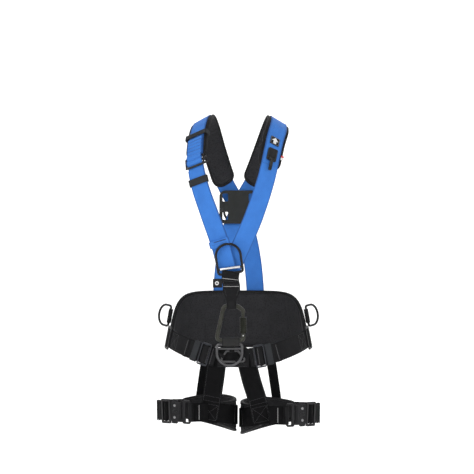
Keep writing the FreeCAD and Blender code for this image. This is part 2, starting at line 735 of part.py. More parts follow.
def buckle_rivets():
    """Domed rivets: each is the pivot of a lever and holds the two plates together."""
    rivets = []
    top = 2 * PLATE_T + CAVITY
    for side in (RIGHT, LEFT):
        for y in (-PIVOT_Y, PIVOT_Y):
            shank = Part.makeCylinder(RIVET_R, top + 1.2, V(PIVOT_X, y, -0.6), V(0, 0, 1))
            head = Part.makeCone(3.2, 2.2, 1.1, V(PIVOT_X, y, top + 0.02), V(0, 0, 1))
            rivets.append(placed(shank.fuse(head), BUCKLE[side]))
    return group(rivets)


LEVER_OUTLINE = [(-9.5, 9.0), (-6.6, 9.0), (-6.6, 12.6), (1, 12.6), (1, 16.5), (8, 17.5), (13.5, 20.5),
                 (13.5, 28), (-2, 28), (-4, 21), (-9.5, 17)]


def lever(side, upper):
    """Release lever: hook behind the tongue's head at one end, thumb pad at the other."""
    z0, z1 = PLATE_T + 0.4, PLATE_T + CAVITY - 0.4
    plate = extrude_outline(LEVER_OUTLINE, z0, z1)
    eye = Part.makeCylinder(4.2, z1 - z0, V(PIVOT_X, PIVOT_Y, z0), V(0, 0, 1))
    hole = Part.makeCylinder(RIVET_R + 0.06, 20, V(PIVOT_X, PIVOT_Y, -5), V(0, 0, 1))
    arm = plate.fuse(eye).cut(hole)
    local_up = -1 if side == RIGHT else 1      # the fitting's Y points down on the right side
    if (local_up == 1) != upper:
        arm = arm.mirror(V(0, 0, 0), V(0, 1, 0))
    return placed(arm, BUCKLE[side])


def tongue(side):
    """Flat tongue: a head that the levers hook, a neck, and a slotted lug for the webbing."""
    z0, z1 = PLATE_T + 0.9, PLATE_T + CAVITY - 0.9
    head = slab(-6.2, -0.4, -11, 11, z0, z1)
    neck = slab(-18, -5, -8.4, 8.4, z0, z1)
    lug = slab(-38, -16.4, -28, 28, z0 - 0.6, z1 + 0.6, 5.0)
    lug = lug.cut(slab(-34.5, -24.5, -23.3, 23.3, -5, 15))
    return placed(fuse_all([head, neck, lug]), BUCKLE[side])


def tongue_strap(side):
    """Short strap from the tongue's lug to the leg riser, folded round the lug's inner bar."""
    loop = fold(2.0, WEB - 1, 7, slack=0.4)
    loop.rotate(V(0, 0, 0), V(0, 0, 1), 90)
    loop.translate(V(-36.2, 0, PLATE_T + CAVITY / 2))
    r = tongue_route[side]
    return group([placed(loop, BUCKLE[side]), strap(r, 3, r.length, width=WEB - 1)])


def rear_straps():
    return group([strap(rear_leg[s], 0, rear_leg[s].length, width=25) for s in (RIGHT, LEFT)])


# ---- all sub-parts -----------------------------------------------------------------
def side_name(side):
    return "right" if side == RIGHT else "left"


def all_parts():
    r, low = shoulder[RIGHT], LIFT[RIGHT]
    high = low + 2 * WEB_T + GAP
    lower_keeper = keeper(r, shoulder_at(RIGHT, 350), 17, low, high, slack=1.5, edge=1.6)
    pad_keeper = keeper(r, shoulder_at(RIGHT, 458), 14, low - 8, high, width=58, slack=1.2)
    parts = {
        "shoulder_fold": shoulder_tail(), "shoulder_stitched_end": stitched_end(),
        "shoulder_adjuster": shoulder_adjuster(), "chest_keeper": lower_keeper, "pad_keeper": pad_keeper,
        "dorsal_plate": dorsal_plate(), "dorsal_d_ring": dorsal_ring(), "chest_d_ring": chest_ring(),
        "chest_connector_strap": connector_strap(), "marker_label": marker_label(),
        "park_plate": park_plate(), "park_tab": park_tab(), "pad_patch": pad_patch(),
        "belt_pad": belt_pad(), "belt_webbing": belt_webbing(), "belt_keepers": belt_keepers(),
        "carabiner_body": carabiner_body(), "carabiner_gate": carabiner_gate(),
        "carabiner_gate_pin": placed(gate_pin_solid(1.5), CARA), "carabiner_lock_sleeve": lock_sleeve(),
        "ventral_loop": ventral_loop(), "ventral_d_ring": ventral_ring(), "front_ring": front_ring(),
        "ring_folds": ring_folds(), "belt_bridge": belt_bridge(), "buckle_rivets": buckle_rivets(),
        "leg_keepers": leg_keepers(), "rear_leg_straps": rear_straps(),
    }
    for side in (RIGHT, LEFT):
        name = side_name(side)
        parts.update({
            name + "_shoulder_strap": shoulder_strap(side), name + "_shoulder_pad": shoulder_pad(side),
            name + "_belt_front_strap": belt_front(side), name + "_belt_adjuster": belt_adjuster(side),
            name + "_side_adjuster": side_adjuster(side), name + "_side_d_ring": side_ring(side),
            name + "_side_ring_loop": side_loop(side), name + "_leg_riser": leg_riser(side),
            name + "_thigh_pad": thigh_pad(side), name + "_thigh_strap": thigh_strap(side),
            name + "_leg_slide": leg_slide(side), name + "_buckle_housing": buckle_housing(side),
            name + "_upper_lever": lever(side, True), name + "_lower_lever": lever(side, False),
            name + "_buckle_tongue": tongue(side), name + "_tongue_strap": tongue_strap(side),
        })
    return parts


os.makedirs("parts", exist_ok=True)
for node, shape in all_parts().items():
    shape.exportStep("parts/" + node + ".step")
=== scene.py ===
import math
import bpy
from mathutils import Matrix, Vector, noise


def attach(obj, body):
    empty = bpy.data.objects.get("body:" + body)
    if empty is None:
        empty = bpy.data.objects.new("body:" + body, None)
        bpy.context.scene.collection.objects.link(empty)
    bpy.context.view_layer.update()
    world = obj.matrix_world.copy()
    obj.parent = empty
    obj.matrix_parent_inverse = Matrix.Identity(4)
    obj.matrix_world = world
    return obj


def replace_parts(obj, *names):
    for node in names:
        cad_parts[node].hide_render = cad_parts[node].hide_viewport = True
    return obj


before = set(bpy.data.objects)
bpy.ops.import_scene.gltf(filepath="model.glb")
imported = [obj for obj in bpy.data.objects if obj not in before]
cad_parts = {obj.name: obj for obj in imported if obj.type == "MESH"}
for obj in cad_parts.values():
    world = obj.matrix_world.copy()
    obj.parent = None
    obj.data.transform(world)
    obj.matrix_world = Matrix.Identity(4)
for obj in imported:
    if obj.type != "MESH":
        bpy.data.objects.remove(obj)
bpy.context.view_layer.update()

# Lengths below are millimetres in the CAD frame, and piece() makes the meshes in metres.
# The pad simulation, the CAD nodes' rims, the studio and the camera are in metres.
MM = 0.001
WEB, WEB_T, GAP = 45.0, 1.8, 0.5      # load webbing: width, thickness, gap between layers
PAD_T = 9.0
END_POWER = 2.4                       # roundness of a pad's ends
CLIMB = 5.6                           # how far webbing climbs over a slide's centre bar
BAR_HALF = 3.2                        # half width of the bars that webbing climbs over
PAD_GAP = 0.5                         # space between the body and a pad
ADJUSTER_Z = 395                      # level of the shoulder adjuster
RIGHT, LEFT = -1, 1
THREAD_R = 0.36
YARN_COLUMN = 1.5                     # width of a column of yarn in the webbing
CORD_PITCH = 1.5                      # spacing of the cords in the elastic
MESH_CELL = 3.2                       # spacing of the holes in the pads' knit
# The wearer's torso: level, half width, depth in front, depth behind.
TORSO = [(-230, 176, 104, 112), (-120, 172, 112, 122), (-60, 165, 110, 116), (-30, 161, 109, 110),
         (0, 156, 107, 104), (40, 149, 108, 98), (80, 141, 109, 94), (160, 146, 118, 104),
         (260, 160, 122, 120)]
TORSO_POWER = 2.3
THIGH_X, THIGH_OUT, THIGH_IN, THIGH_RY = 103.0, 79.0, 89.5, 90.0
THIGH_Z = {RIGHT: -194.0, LEFT: -201.0}
SIDE = {RIGHT: "right", LEFT: "left"}


# ---- the wearer's surface ------------------------------------------------------------
def torso_size(z):
    """Half width and depths of the torso at a level."""
    for low, high in zip(TORSO, TORSO[1:]):
        if z <= high[0] or high is TORSO[-1]:
            f = min(max((z - low[0]) / (high[0] - low[0]), 0.0), 1.0)
            return [low[k] + (high[k] - low[k]) * f for k in (1, 2, 3)]


def torso_point(turn, z, height=0.0):
    """Point above the torso; turn is in degrees, 0 at the back and positive on the left."""
    half, front, back = torso_size(z)
    s, c = math.sin(math.radians(turn)), math.cos(math.radians(turn))
    depth = back if c >= 0 else front
    e = 2.0 / TORSO_POWER
    return Vector((math.copysign(abs(s) ** e, s) * (half + height),
                   math.copysign(abs(c) ** e, c) * (depth + height), z))


def thigh_point(side, turn, z, height=0.0):
    """Point above a thigh; turn is in degrees, 0 in front and positive outwards."""
    s, c = math.sin(math.radians(turn)), math.cos(math.radians(turn))
    radius = THIGH_OUT if s > 0 else THIGH_IN
    return Vector((side * (THIGH_X + s * (radius + height)), -c * (THIGH_RY + height), z))


def torso_outward(p):
    return (p - Vector((0.3 * p.x, 0, min(p.z, 385.0)))).normalized()


def flat_outward(p):
    return Vector((p.x * 0.5, p.y, 0)).normalized()


def torso_outward_level(p):
    low, high = torso_size(p.z - 22), torso_size(p.z + 22)
    k = 2 if p.y > 0 else 1
    n = flat_outward(p)
    lean = ((high[0] - low[0]) * n.x ** 2 + (high[k] - low[k]) * n.y ** 2) / 44
    return (n - Vector((0, 0, lean))).normalized()


def thigh_outward(side):
    return lambda p: Vector((p.x - side * THIGH_X, p.y, 0)).normalized()


# ---- routes ----------------------------------------------------------------------------
class Route:
    """A smooth line through points, with a face direction at each length."""

    def __init__(self, points, outward, steps=24):
        pts = [Vector(p) for p in points]
        pts = [pts[0] * 2 - pts[1]] + pts + [pts[-1] * 2 - pts[-2]]
        self.line = []
        for a, b, c, d in zip(pts, pts[1:], pts[2:], pts[3:]):
            for k in range(steps):
                t = k / steps
                self.line.append((b * 2 + (c - a) * t + (a * 2 - b * 5 + c * 4 - d) * t ** 2
                                  + (b * 3 - a - c * 3 + d) * t ** 3) * 0.5)
        self.line.append(pts[-2])
        self.reach = [0.0]
        for a, b in zip(self.line, self.line[1:]):
            self.reach.append(self.reach[-1] + (b - a).length)
        self.length = self.reach[-1]
        self.outward = outward

    def point(self, s):
        if s <= 0:
            return self.line[0] + (self.line[1] - self.line[0]).normalized() * s
        if s >= self.length:
            return self.line[-1] + (self.line[-1] - self.line[-2]).normalized() * (s - self.length)
        k = next(k for k in range(1, len(self.line)) if s <= self.reach[k])
        f = (s - self.reach[k - 1]) / (self.reach[k] - self.reach[k - 1])
        return self.line[k - 1].lerp(self.line[k], f)

    def axes(self, s):
        p = self.point(s)
        along = (self.point(s + 6) - self.point(s - 6)).normalized()
        across = self.outward(p).cross(along).normalized()
        return p, along, across, along.cross(across).normalized()

    def nearest(self, key):
        return self.reach[min(range(len(self.line)), key=lambda k: key(self.line[k]))]

    def stand(self, s, height=0.0):
        """Placement on the route: X along, Y across, Z out of the face."""
        p, along, across, face = self.axes(s)
        return axes_matrix(p + face * height, along, across)


def axes_matrix(origin, x, y):
    m = Matrix((x, y, x.cross(y))).transposed().to_4x4()
    m.translation = origin
    return m


def upright(x, y, z, tilt=0.0):
    """Placement of a fitting that faces the front: local Y points up, turned by tilt."""
    return (Matrix.Translation((x, y, z)) @ Matrix.Rotation(math.radians(-tilt), 4, "Y")
            @ Matrix.Rotation(math.radians(90), 4, "X"))


BACK_RUN = [(22, 134, 224), (34, 119, 160), (40, 112, 100), (42, 114, 50), (42, 118, -6)]
SHOULDER = {
    RIGHT: [(-25, -121, 138), (-43, -122, 206), (-66, -123, 273), (-88, -118, 340), (-98, -104, 392),
            (-98, -78, 440), (-92, -38, 482), (-84, 12, 501), (-74, 62, 482), (-58, 102, 428),
            (-36, 129, 362), (-14, 142, 318), (5, 144, 276)] + BACK_RUN,
    LEFT: [(-24, -119, 128), (0, -121, 184), (34, -124, 262), (63, -119, 348), (78, -104, 412),
           (87, -78, 452), (97, -36, 486), (96, 14, 502), (86, 64, 482), (66, 104, 428),
           (40, 129, 362), (16, 142, 318), (-3, 144, 276)] + [(-x, y, z) for x, y, z in BACK_RUN],
}
LIFT = {RIGHT: 4.4, LEFT: 0.0}
shoulder = {side: Route(SHOULDER[side], torso_outward) for side in (RIGHT, LEFT)}
BELT_TURNS = [-100, -80, -60, -40, -20, 0, 20, 40, 60, 80, 100]
BELT_Z = [-26, -20, -12, -6, -2, 0, -2, -6, -12, -20, -26]
belt = Route([torso_point(t, z, PAD_T + 2.2) for t, z in zip(BELT_TURNS, BELT_Z)], torso_outward_level)
FRONT_BELT = {
    RIGHT: [torso_point(-97, -22, 11), torso_point(-112, -28, 8), (-139, -76, -36), (-112, -97, -46),
            (-84, -107, -56), (-50, -113.5, -66)],
    LEFT: [torso_point(97, -22, 11), torso_point(112, -28, 8), (139, -76, -36), (112, -97, -46),
           (84, -107, -55), (54, -112.5, -61), (23, -113.5, -66)],
}
front_belt = {side: Route(FRONT_BELT[side], torso_outward_level) for side in (RIGHT, LEFT)}
RISER = {
    RIGHT: [(-49, -109.5, -60), (-56, -107.5, -118), (-64, -96, -170), (-72, -93.5, -219)],
    LEFT: [(16, -109.5, -60), (30, -107.5, -118), (46, -94.5, -172), (56, -90, -225)],
}
riser = {side: Route(RISER[side], lambda p: Vector((p.x * 0.002, -1, 0.05)).normalized())
         for side in (RIGHT, LEFT)}
rear_leg = {side: Route([(side * 72, 118, -18), (side * 78, 121, -70), (side * 86, 121, -120),
                         (side * 96, 109, -190)], torso_outward_level) for side in (RIGHT, LEFT)}


def thigh_route(side, turns, lift):
    points = []
    for turn in turns:
        drop = 14 * math.sin(math.radians(max(-turn, 0) / 2)) ** 2
        if -180 < turn < 0:
            drop += 12 * math.sin(math.radians(turn)) ** 2
        points.append(thigh_point(side, turn, THIGH_Z[side] - drop, lift))
    return Route(points, thigh_outward(side))


THIGH_LIFT = PAD_T + 1.4
thigh_pad_route = {s: thigh_route(s, [-30 - 12 * k for k in range(16)], 0.5) for s in (RIGHT, LEFT)}
thigh_back = {s: thigh_route(s, [-34 - 14.5 * k for k in range(21)], THIGH_LIFT) for s in (RIGHT, LEFT)}
thigh_front = {s: thigh_route(s, [-8 + 10 * k for k in range(11)], THIGH_LIFT) for s in (RIGHT, LEFT)}
tongue_route = {s: Route([(s * x, y, THIGH_Z[s] - 2) for x, y in
                          ((119, -107), (107, -102.5), (94, -99), (72, -97.5))], flat_outward)
                for s in (RIGHT, LEFT)}


def shoulder_at(side, z, front=True):
    return shoulder[side].nearest(lambda p: abs(p.z - z) + (0 if (p.y < 12) == front else 1e3))


def belt_at(side, x):
    return front_belt[side].nearest(lambda p: abs(p.x - x) + (0 if p.y < -30 else 1e3))


def thigh_at(route, side, turn):
    goal = thigh_point(side, turn, THIGH_Z[side], THIGH_LIFT)
    return route[side].nearest(lambda p: (p - goal).length)


# ---- materials --------------------------------------------------------------------------
class Paint:
    """A node material built up from a Principled shader."""

    def __init__(self, name, rough=0.6, metallic=0.0, **sockets):
        self.material = bpy.data.materials.new(name)
        self.material.use_nodes = True
        self.tree = self.material.node_tree
        self.shader = self.tree.nodes["Principled BSDF"]
        self.shader.inputs["Roughness"].default_value = rough
        self.shader.inputs["Metallic"].default_value = metallic
        for socket, value in sockets.items():
            self.shader.inputs[socket.replace("_", " ")].default_value = value

    def put(self, target, value):
        if isinstance(value, bpy.types.NodeSocket):
            self.tree.links.new(value, target)
        else:
            target.default_value = value

    def math(self, operation, a, b=0.0):
        node = self.tree.nodes.new("ShaderNodeMath")
        node.operation = operation
        for socket, value in zip(node.inputs, (a, b)):
            self.put(socket, value)
        return node.outputs[0]

    def coordinates(self, kind="Object"):
        return self.tree.nodes.new("ShaderNodeTexCoord").outputs[kind]

    def stretched(self, scale):
        node = self.tree.nodes.new("ShaderNodeMapping")
        self.tree.links.new(self.coordinates(), node.inputs["Vector"])
        node.inputs["Scale"].default_value = scale
        return node.outputs[0]

    def noise(self, scale, detail=3.0, vector=None):
        node = self.tree.nodes.new("ShaderNodeTexNoise")
        self.tree.links.new(vector or self.coordinates(), node.inputs["Vector"])
        node.inputs["Scale"].default_value = scale
        node.inputs["Detail"].default_value = detail
        return node.outputs["Fac"]

    def cells(self, scale):
        node = self.tree.nodes.new("ShaderNodeTexVoronoi")
        self.tree.links.new(self.coordinates(), node.inputs["Vector"])
        node.inputs["Scale"].default_value = scale
        return node.outputs["Distance"]

    def ramp(self, value, stops):
        node = self.tree.nodes.new("ShaderNodeValToRGB")
        self.put(node.inputs["Fac"], value)
        ramp = node.color_ramp
        for k, (place, colour) in enumerate(stops):
            stop = ramp.elements[k] if k < 2 else ramp.elements.new(place)
            stop.position = place
            stop.color = (*colour, 1)
        return node.outputs["Color"]

    def span(self, value, low, high):
        node = self.tree.nodes.new("ShaderNodeMapRange")
        self.put(node.inputs["Value"], value)
        node.inputs["To Min"].default_value = low
        node.inputs["To Max"].default_value = high
        return node.outputs["Result"]

    def shade(self, colour, factor):
        """Multiply a colour by a factor that varies over the surface."""
        node = self.tree.nodes.new("ShaderNodeMix")
        node.data_type = "RGBA"
        node.blend_type = "MULTIPLY"
        node.inputs["Factor"].default_value = 1.0
        self.put(node.inputs["A"], colour)
        self.put(node.inputs["B"], factor)
        return node.outputs["Result"]

    def along_and_across(self):
        """The two texture coordinates of a strap, in metres: along it and across it."""
        split = self.tree.nodes.new("ShaderNodeSeparateXYZ")
        self.tree.links.new(self.coordinates("UV"), split.inputs[0])
        return split.outputs["X"], split.outputs["Y"]

    def finish(self, colour, rough=None, height=None, strength=0.4, depth=0.0004):
        """Wire up the colour, and where given the roughness and a bump of a depth in metres."""
        self.put(self.shader.inputs["Base Color"], colour)
        if rough is not None:
            self.put(self.shader.inputs["Roughness"], rough)
        if height is not None:
            bump = self.tree.nodes.new("ShaderNodeBump")
            bump.inputs["Strength"].default_value = strength
            bump.inputs["Distance"].default_value = depth
            self.put(bump.inputs["Height"], height)
            self.tree.links.new(bump.outputs["Normal"], self.shader.inputs["Normal"])
        return self.material


def tone(colour, k):
    return tuple(min(1.0, c * k) for c in colour)


def woven(name, colour, rib=2.2, groove_shade=0.62, gloss=0.12):
    """Webbing: raised columns of slanted yarn along the strap, with painted shade in the grooves between them.
    The UV map is in metres.
    """
    p = Paint(name, Specular_IOR_Level=gloss)
    u, v = p.along_and_across()
    zigzag = p.math("PINGPONG", p.math("DIVIDE", v, YARN_COLUMN * 2 * MM), 1.0)
    turn = p.math("ADD", p.math("DIVIDE", u, rib * MM), p.math("MULTIPLY", zigzag, 0.5))
    yarn = p.span(p.math("SINE", p.math("MULTIPLY", turn, 2 * math.pi)), 0.15, 1.0)
    ridge = p.math("ABSOLUTE", p.math("SINE", p.math("MULTIPLY", v, math.pi / (YARN_COLUMN * MM))))
    height = p.math("MULTIPLY", yarn, p.math("ADD", p.math("MULTIPLY", ridge, 0.6), 0.4))
    # colour darker where the yarn is low: painted shade in the grooves
    weave = p.ramp(height, [(0.0, tone(colour, groove_shade)), (0.85, colour)])
    faded = p.ramp(p.noise(38, 4), [(0.3, (0.84, 0.85, 0.87)), (0.72, (1.0, 1.0, 1.0))])
    # the colour is darker towards the strap's edges, by the Edge map
    edge = p.tree.nodes.new("ShaderNodeUVMap")
    edge.uv_map = "Edge"
    places = p.tree.nodes.new("ShaderNodeSeparateXYZ")
    p.tree.links.new(edge.outputs[0], places.inputs[0])
    darker_edges = p.ramp(places.outputs["Y"], [(0.86, (1, 1, 1)), (0.95, (0.5, 0.52, 0.56))])
    rough = p.span(p.noise(260, 2), 0.6, 0.84)
    return p.finish(p.shade(p.shade(weave, faded), darker_edges), rough, height, 0.45, 0.0005)


def ribbed(name, colour):
    """Elastic tape: fine cords across its length, with painted shade between the cords."""
    p = Paint(name, Specular_IOR_Level=0.16)
    u, v = p.along_and_across()
    cord = p.math("ABSOLUTE", p.math("SINE", p.math("DIVIDE", u, CORD_PITCH * MM / math.pi)))
    fine = p.math("ABSOLUTE", p.math("SINE", p.math("DIVIDE", v, 0.3 * CORD_PITCH * MM / math.pi)))
    height = p.math("ADD", p.math("MULTIPLY", cord, 0.8), p.math("MULTIPLY", fine, 0.2))
    # colour darker where the cords are low: painted shade between them
    weave = p.ramp(height, [(0.05, tone(colour, 0.55)), (0.9, colour)])
    cloudy = p.ramp(p.noise(55), [(0.3, (0.82, 0.82, 0.83)), (0.7, (1.0, 1.0, 1.0))])
    return p.finish(p.shade(weave, cloudy), p.span(p.noise(200), 0.6, 0.82), height, 0.6, 0.0006)


def spacer_mesh(name, colour):
    """Open knit over foam: holes in rows, whatever the surface's direction, with painted shade that darkens
    the holes.
    """
    p = Paint(name, Sheen_Weight=0.02, Sheen_Roughness=0.5, Specular_IOR_Level=0.12)
    hole = p.cells(1 / (MESH_CELL * MM))
    # the holes are painted dark: painted shade inside them
    knit = p.ramp(hole, [(0.12, tone(colour, 0.25)), (0.42, colour)])
    cloudy = p.ramp(p.noise(30, 5), [(0.3, (0.8, 0.8, 0.81)), (0.72, (1.0, 1.0, 1.0))])
    height = p.math("ADD", p.math("MINIMUM", hole, 0.45), p.math("MULTIPLY", p.noise(900, 2), 0.12))
    return p.finish(p.shade(knit, cloudy), p.span(p.noise(400), 0.62, 0.86), height, 0.7, 0.0011)


def cloth(name, colour, scale=900):
    """Close plain cloth for bindings and labels, with painted shade between the yarns."""
    p = Paint(name, Specular_IOR_Level=0.14)
    yarn = p.math("MULTIPLY", p.noise(scale, 1, p.stretched((1, 1, 0.25))),
                  p.noise(scale, 1, p.stretched((0.25, 0.25, 1))))
    # colour darker where the yarn is low: painted shade between the yarns
    weave = p.ramp(yarn, [(0.1, tone(colour, 0.55)), (0.35, colour)])
    cloudy = p.ramp(p.noise(60, 3), [(0.3, (0.85, 0.85, 0.86)), (0.7, (1.0, 1.0, 1.0))])
    return p.finish(p.shade(weave, cloudy), p.span(p.noise(300), 0.6, 0.82), yarn, 0.5, 0.0005)


def coated_metal(name, colour, rough, metallic, wear):
    """Painted or blackened metal with fine orange peel and rubbed patches."""
    p = Paint(name, metallic=metallic, Specular_IOR_Level=0.18)
    rub = p.math("MULTIPLY", p.noise(120, 6), p.noise(900, 3, p.stretched((1, 0.12, 1))))
    paint = p.ramp(rub, [(0.30, colour), (0.47, tone(colour, 1.5)), (0.56, wear)])
    spread = p.span(p.noise(300, 4), rough - 0.08, rough + 0.16)
    return p.finish(paint, spread, p.noise(1700, 2), 0.18, 0.0003)


def bare_metal(name, colour, rough=0.28):
    """Steel or anodised alloy with a faint grain, small scratches and duller patches."""
    p = Paint(name, metallic=1.0)
    grain = p.noise(1500, 3, p.stretched((1, 0.06, 1)))
    patch = p.noise(70, 5)
    body = p.ramp(patch, [(0.32, tone(colour, 0.78)), (0.55, colour), (0.8, tone(colour, 1.12))])
    spread = p.math("ADD", p.span(patch, rough - 0.06, rough + 0.14), p.math("MULTIPLY", grain, 0.1))
    return p.finish(body, spread, grain, 0.14, 0.0002)


def moulded(name, colour, rough=0.5):
    """Plain or enamelled plastic with a fine grain."""
    p = Paint(name, Specular_IOR_Level=0.22)
    spark = p.noise(2200, 2)
    body = p.ramp(p.noise(45, 4), [(0.3, tone(colour, 0.85)), (0.7, tone(colour, 1.15))])
    return p.finish(body, p.span(p.noise(500), rough - 0.06, rough + 0.1), spark, 0.3, 0.0003)


def twisted(name, colour):
    """Sewing thread, with painted shade between its plies."""
    p = Paint(name, rough=0.55, Sheen_Weight=0.05, Sheen_Roughness=0.4)
    ply = p.noise(3200, 1)
    # colour darker where the ply is low: painted shade between the plies
    return p.finish(p.ramp(ply, [(0.35, tone(colour, 0.7)), (0.62, colour)]), None, ply, 0.4, 0.0002)


BLUE = (0.036, 0.185, 0.60)
BLACK = (0.012, 0.012, 0.013)
LOOK = {
    "blue": woven("webbing blue", BLUE, groove_shade=0.72, gloss=0.3),
    "black": woven("webbing black", BLACK, groove_shade=0.5, gloss=0.09),
    # the next two are darker copies of the black webbing and the spacer mesh for the leg parts: painted shade
    "shaded_black": woven("webbing black with painted shade", (0.0058, 0.0058, 0.0064), groove_shade=0.45, gloss=0.05),
    "shaded_mesh": spacer_mesh("spacer mesh with painted shade", (0.010, 0.010, 0.011)),
    "loop": woven("webbing grey fleck", (0.034, 0.034, 0.034), rib=1.6, groove_shade=0.3),
    "elastic": ribbed("elastic tape", (0.024, 0.026, 0.029)),
    "mesh": spacer_mesh("spacer mesh", (0.022, 0.022, 0.024)),
    "binding": cloth("edge binding", (0.010, 0.010, 0.011)),
    "label": cloth("label cloth", (0.014, 0.014, 0.016), 1400),
    "white": cloth("white print", (0.80, 0.80, 0.79), 1400),
    "red": cloth("red tape", (0.55, 0.03, 0.025), 1400),
    "steel_ring": bare_metal("satin steel", (0.085, 0.085, 0.088), 0.27),
    "dark_steel": bare_metal("dull steel", (0.10, 0.10, 0.102), 0.36),
    "bright": bare_metal("bright steel", (0.62, 0.62, 0.63), 0.2),
    "rivet": bare_metal("worn rivet steel", (0.22, 0.22, 0.225), 0.3),
    "black_ring": coated_metal("black ring finish", (0.009, 0.009, 0.010), 0.26, 0.15,
                               (0.05, 0.05, 0.052)),
    "alloy": bare_metal("olive grey alloy", (0.040, 0.041, 0.035), 0.27),
    "sleeve": bare_metal("dark olive alloy", (0.020, 0.021, 0.017), 0.3),
    "black_metal": coated_metal("black buckle finish", (0.011, 0.011, 0.012), 0.34, 0.25,
                                (0.07, 0.07, 0.072)),
    "slate": moulded("slate grey enamel", (0.020, 0.022, 0.027), 0.42),
    "grip": moulded("dark rubber", (0.006, 0.006, 0.006), 0.62),
    "plastic": moulded("black plastic", (0.015, 0.016, 0.015)),
    "thread_dark": twisted("thread black", (0.022, 0.022, 0.025)),
    "thread_navy": twisted("navy thread", (0.006, 0.024, 0.105)),
    "thread_blue": twisted("thread blue", (0.008, 0.035, 0.13)),
    "thread_grey": twisted("thread grey", (0.34, 0.34, 0.34)),
}


# ---- mesh building -----------------------------------------------------------------------
def piece(name, verts, faces, look, body="harness", uvs=None, smooth=35, half=None):
    """Mesh from points in millimetres that rides on a body; half is a strap's half width."""
    mesh = bpy.data.meshes.new(name)
    mesh.from_pydata([v * MM for v in verts], [], faces)
    if uvs:
        layer = mesh.uv_layers.new(name="UVMap")
        flat = [c for face in uvs for corner in face for c in (corner[0] * MM, corner[1] * MM)]
        layer.data.foreach_set("uv", flat)
        reach = half or 1e6
        edge = mesh.uv_layers.new(name="Edge")
        edge.data.foreach_set("uv", [c for face in uvs for q in face for c in (0.0, abs(q[1]) / reach)])
        mesh.uv_layers["UVMap"].active = True
        mesh.uv_layers["UVMap"].active_render = True
    mesh.materials.append(LOOK[look])
    mesh.polygons.foreach_set("use_smooth", [True] * len(mesh.polygons))
    mesh.set_sharp_from_angle(angle=math.radians(smooth))
    mesh.update()
    obj = bpy.data.objects.new(name, mesh)
    bpy.context.collection.objects.link(obj)
    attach(obj, body)
    return obj


def skin(sections, us, vs, loop=False):
    """Faces and UVs over closed sections of equal count; open ends get flat caps."""
    n, rows = len(sections[0]), len(sections)
    verts = [p for section in sections for p in section]
    faces, uvs = [], []
    for k in range(rows if loop else rows - 1):
        m = (k + 1) % rows
        for j in range(n):
            i = (j + 1) % n
            faces.append((k * n + j, k * n + i, m * n + i, m * n + j))
            u0, u1 = us[k], us[k + 1]
            v0, v1 = vs[j], vs[j + 1]
            uvs.append(((u0, v0), (u0, v1), (u1, v1), (u1, v0)))
    if not loop:
        for k, order in ((0, range(n - 1, -1, -1)), (rows - 1, range(n))):
            faces.append(tuple(k * n + j for j in order))
            uvs.append([(us[k], vs[j]) for j in order])
    return verts, faces, uvs


def web_outline(width, thickness, columns=8):
    """Cross-section of webbing: (across, height) points with full round edges, and UV places."""
    r = thickness / 2
    flat = width / 2 - r
    steps = [-1 + 2 * k / columns for k in range(columns + 1)]
    points = [(flat * t, 0.06 * thickness * t * t) for t in steps]
    points += [(flat + r * math.sin(a), r - r * math.cos(a)) for a in (0.8, math.pi / 2, math.pi - 0.8)]
    points += [(-flat * t, thickness - 0.06 * thickness * t * t) for t in steps]
    points += [(-flat - r * math.sin(a), r + r * math.cos(a)) for a in (0.8, math.pi / 2, math.pi - 0.8)]
    places = [c for c, _ in points]
    return points, places + places[:1]


def ripple(p):
    """Small out-of-plane waviness, the same for layers that lie on each other."""
    return 0.55 * noise.noise(p / 34.0) + 0.18 * noise.noise(p / 11.0)


class Strap:
    """A strip of webbing laid on a route between two lengths; it climbs over bars."""

    def __init__(self, route, start, end, width=WEB, thickness=WEB_T, height=0.0, bars=(), taper=None):
        self.route, self.start, self.end = route, min(start, end), max(start, end)
        self.width, self.thickness, self.height, self.bars, self.taper = width, thickness, height, bars, taper

    def lift(self, s):
        total = self.height
        for bar, rise, half in self.bars:
            f = min(max((half + 6.2 - abs(s - bar)) / 6.0, 0.0), 1.0)
            total += rise * f * f * (3 - 2 * f)
        return total

    def at(self, s, c, h):
        """Point at a length, across from the middle, and above the strap's underside."""
        p, _, across, face = self.route.axes(s)
        return p + across * c + face * (self.lift(s) + h + ripple(p + across * c))

    def build(self, name, look="black", slot="webbing_black", body="harness", relief=None, step=3.0):
        count = max(4, round((self.end - self.start) / step))
        places = [self.start + (self.end - self.start) * k / count for k in range(count + 1)]
        sections = []
        for s in places:
            width = self.taper(s) if self.taper else self.width
            extra = relief(s) if relief else 0.0
            points, vs = web_outline(width, self.thickness)
            p, _, across, face = self.route.axes(s)
            lift = self.lift(s)
            row = []
            for c, h in points:
                q = p + across * c
                rise = extra if h > self.thickness / 2 else 0.0
                row.append(q + face * (lift + h + rise + ripple(q)))
            sections.append(row)
        verts, faces, uvs = skin(sections, places, vs)
        return piece(name, verts, faces, look, body, uvs, 50, self.width / 2)


def band(name, path, width, thickness, look="black", body="harness",
         closed=False, place=Matrix.Identity(4)):
    """A strip bent round bars on the local X axis: path is its middle surface."""
    n = len(path)
    across = Vector((-1, 0, 0))
    sections, us = [], [0.0]
    points, vs = web_outline(width, thickness)
    for k, p in enumerate(path):
        ahead = path[(k + 1) % n] if closed or k < n - 1 else p * 2 - path[k - 1]
        behind = path[k - 1] if closed or k else p * 2 - path[1]
        out = (ahead - behind).normalized().cross(across)
        sections.append([place @ (p + across * c + out * (h - thickness / 2)) for c, h in points])
        us.append(us[-1] + (path[(k + 1) % n] - p).length)
    verts, faces, uvs = skin(sections, us, vs, closed)
    return piece(name, verts, faces, look, body, uvs, 50, width / 2)


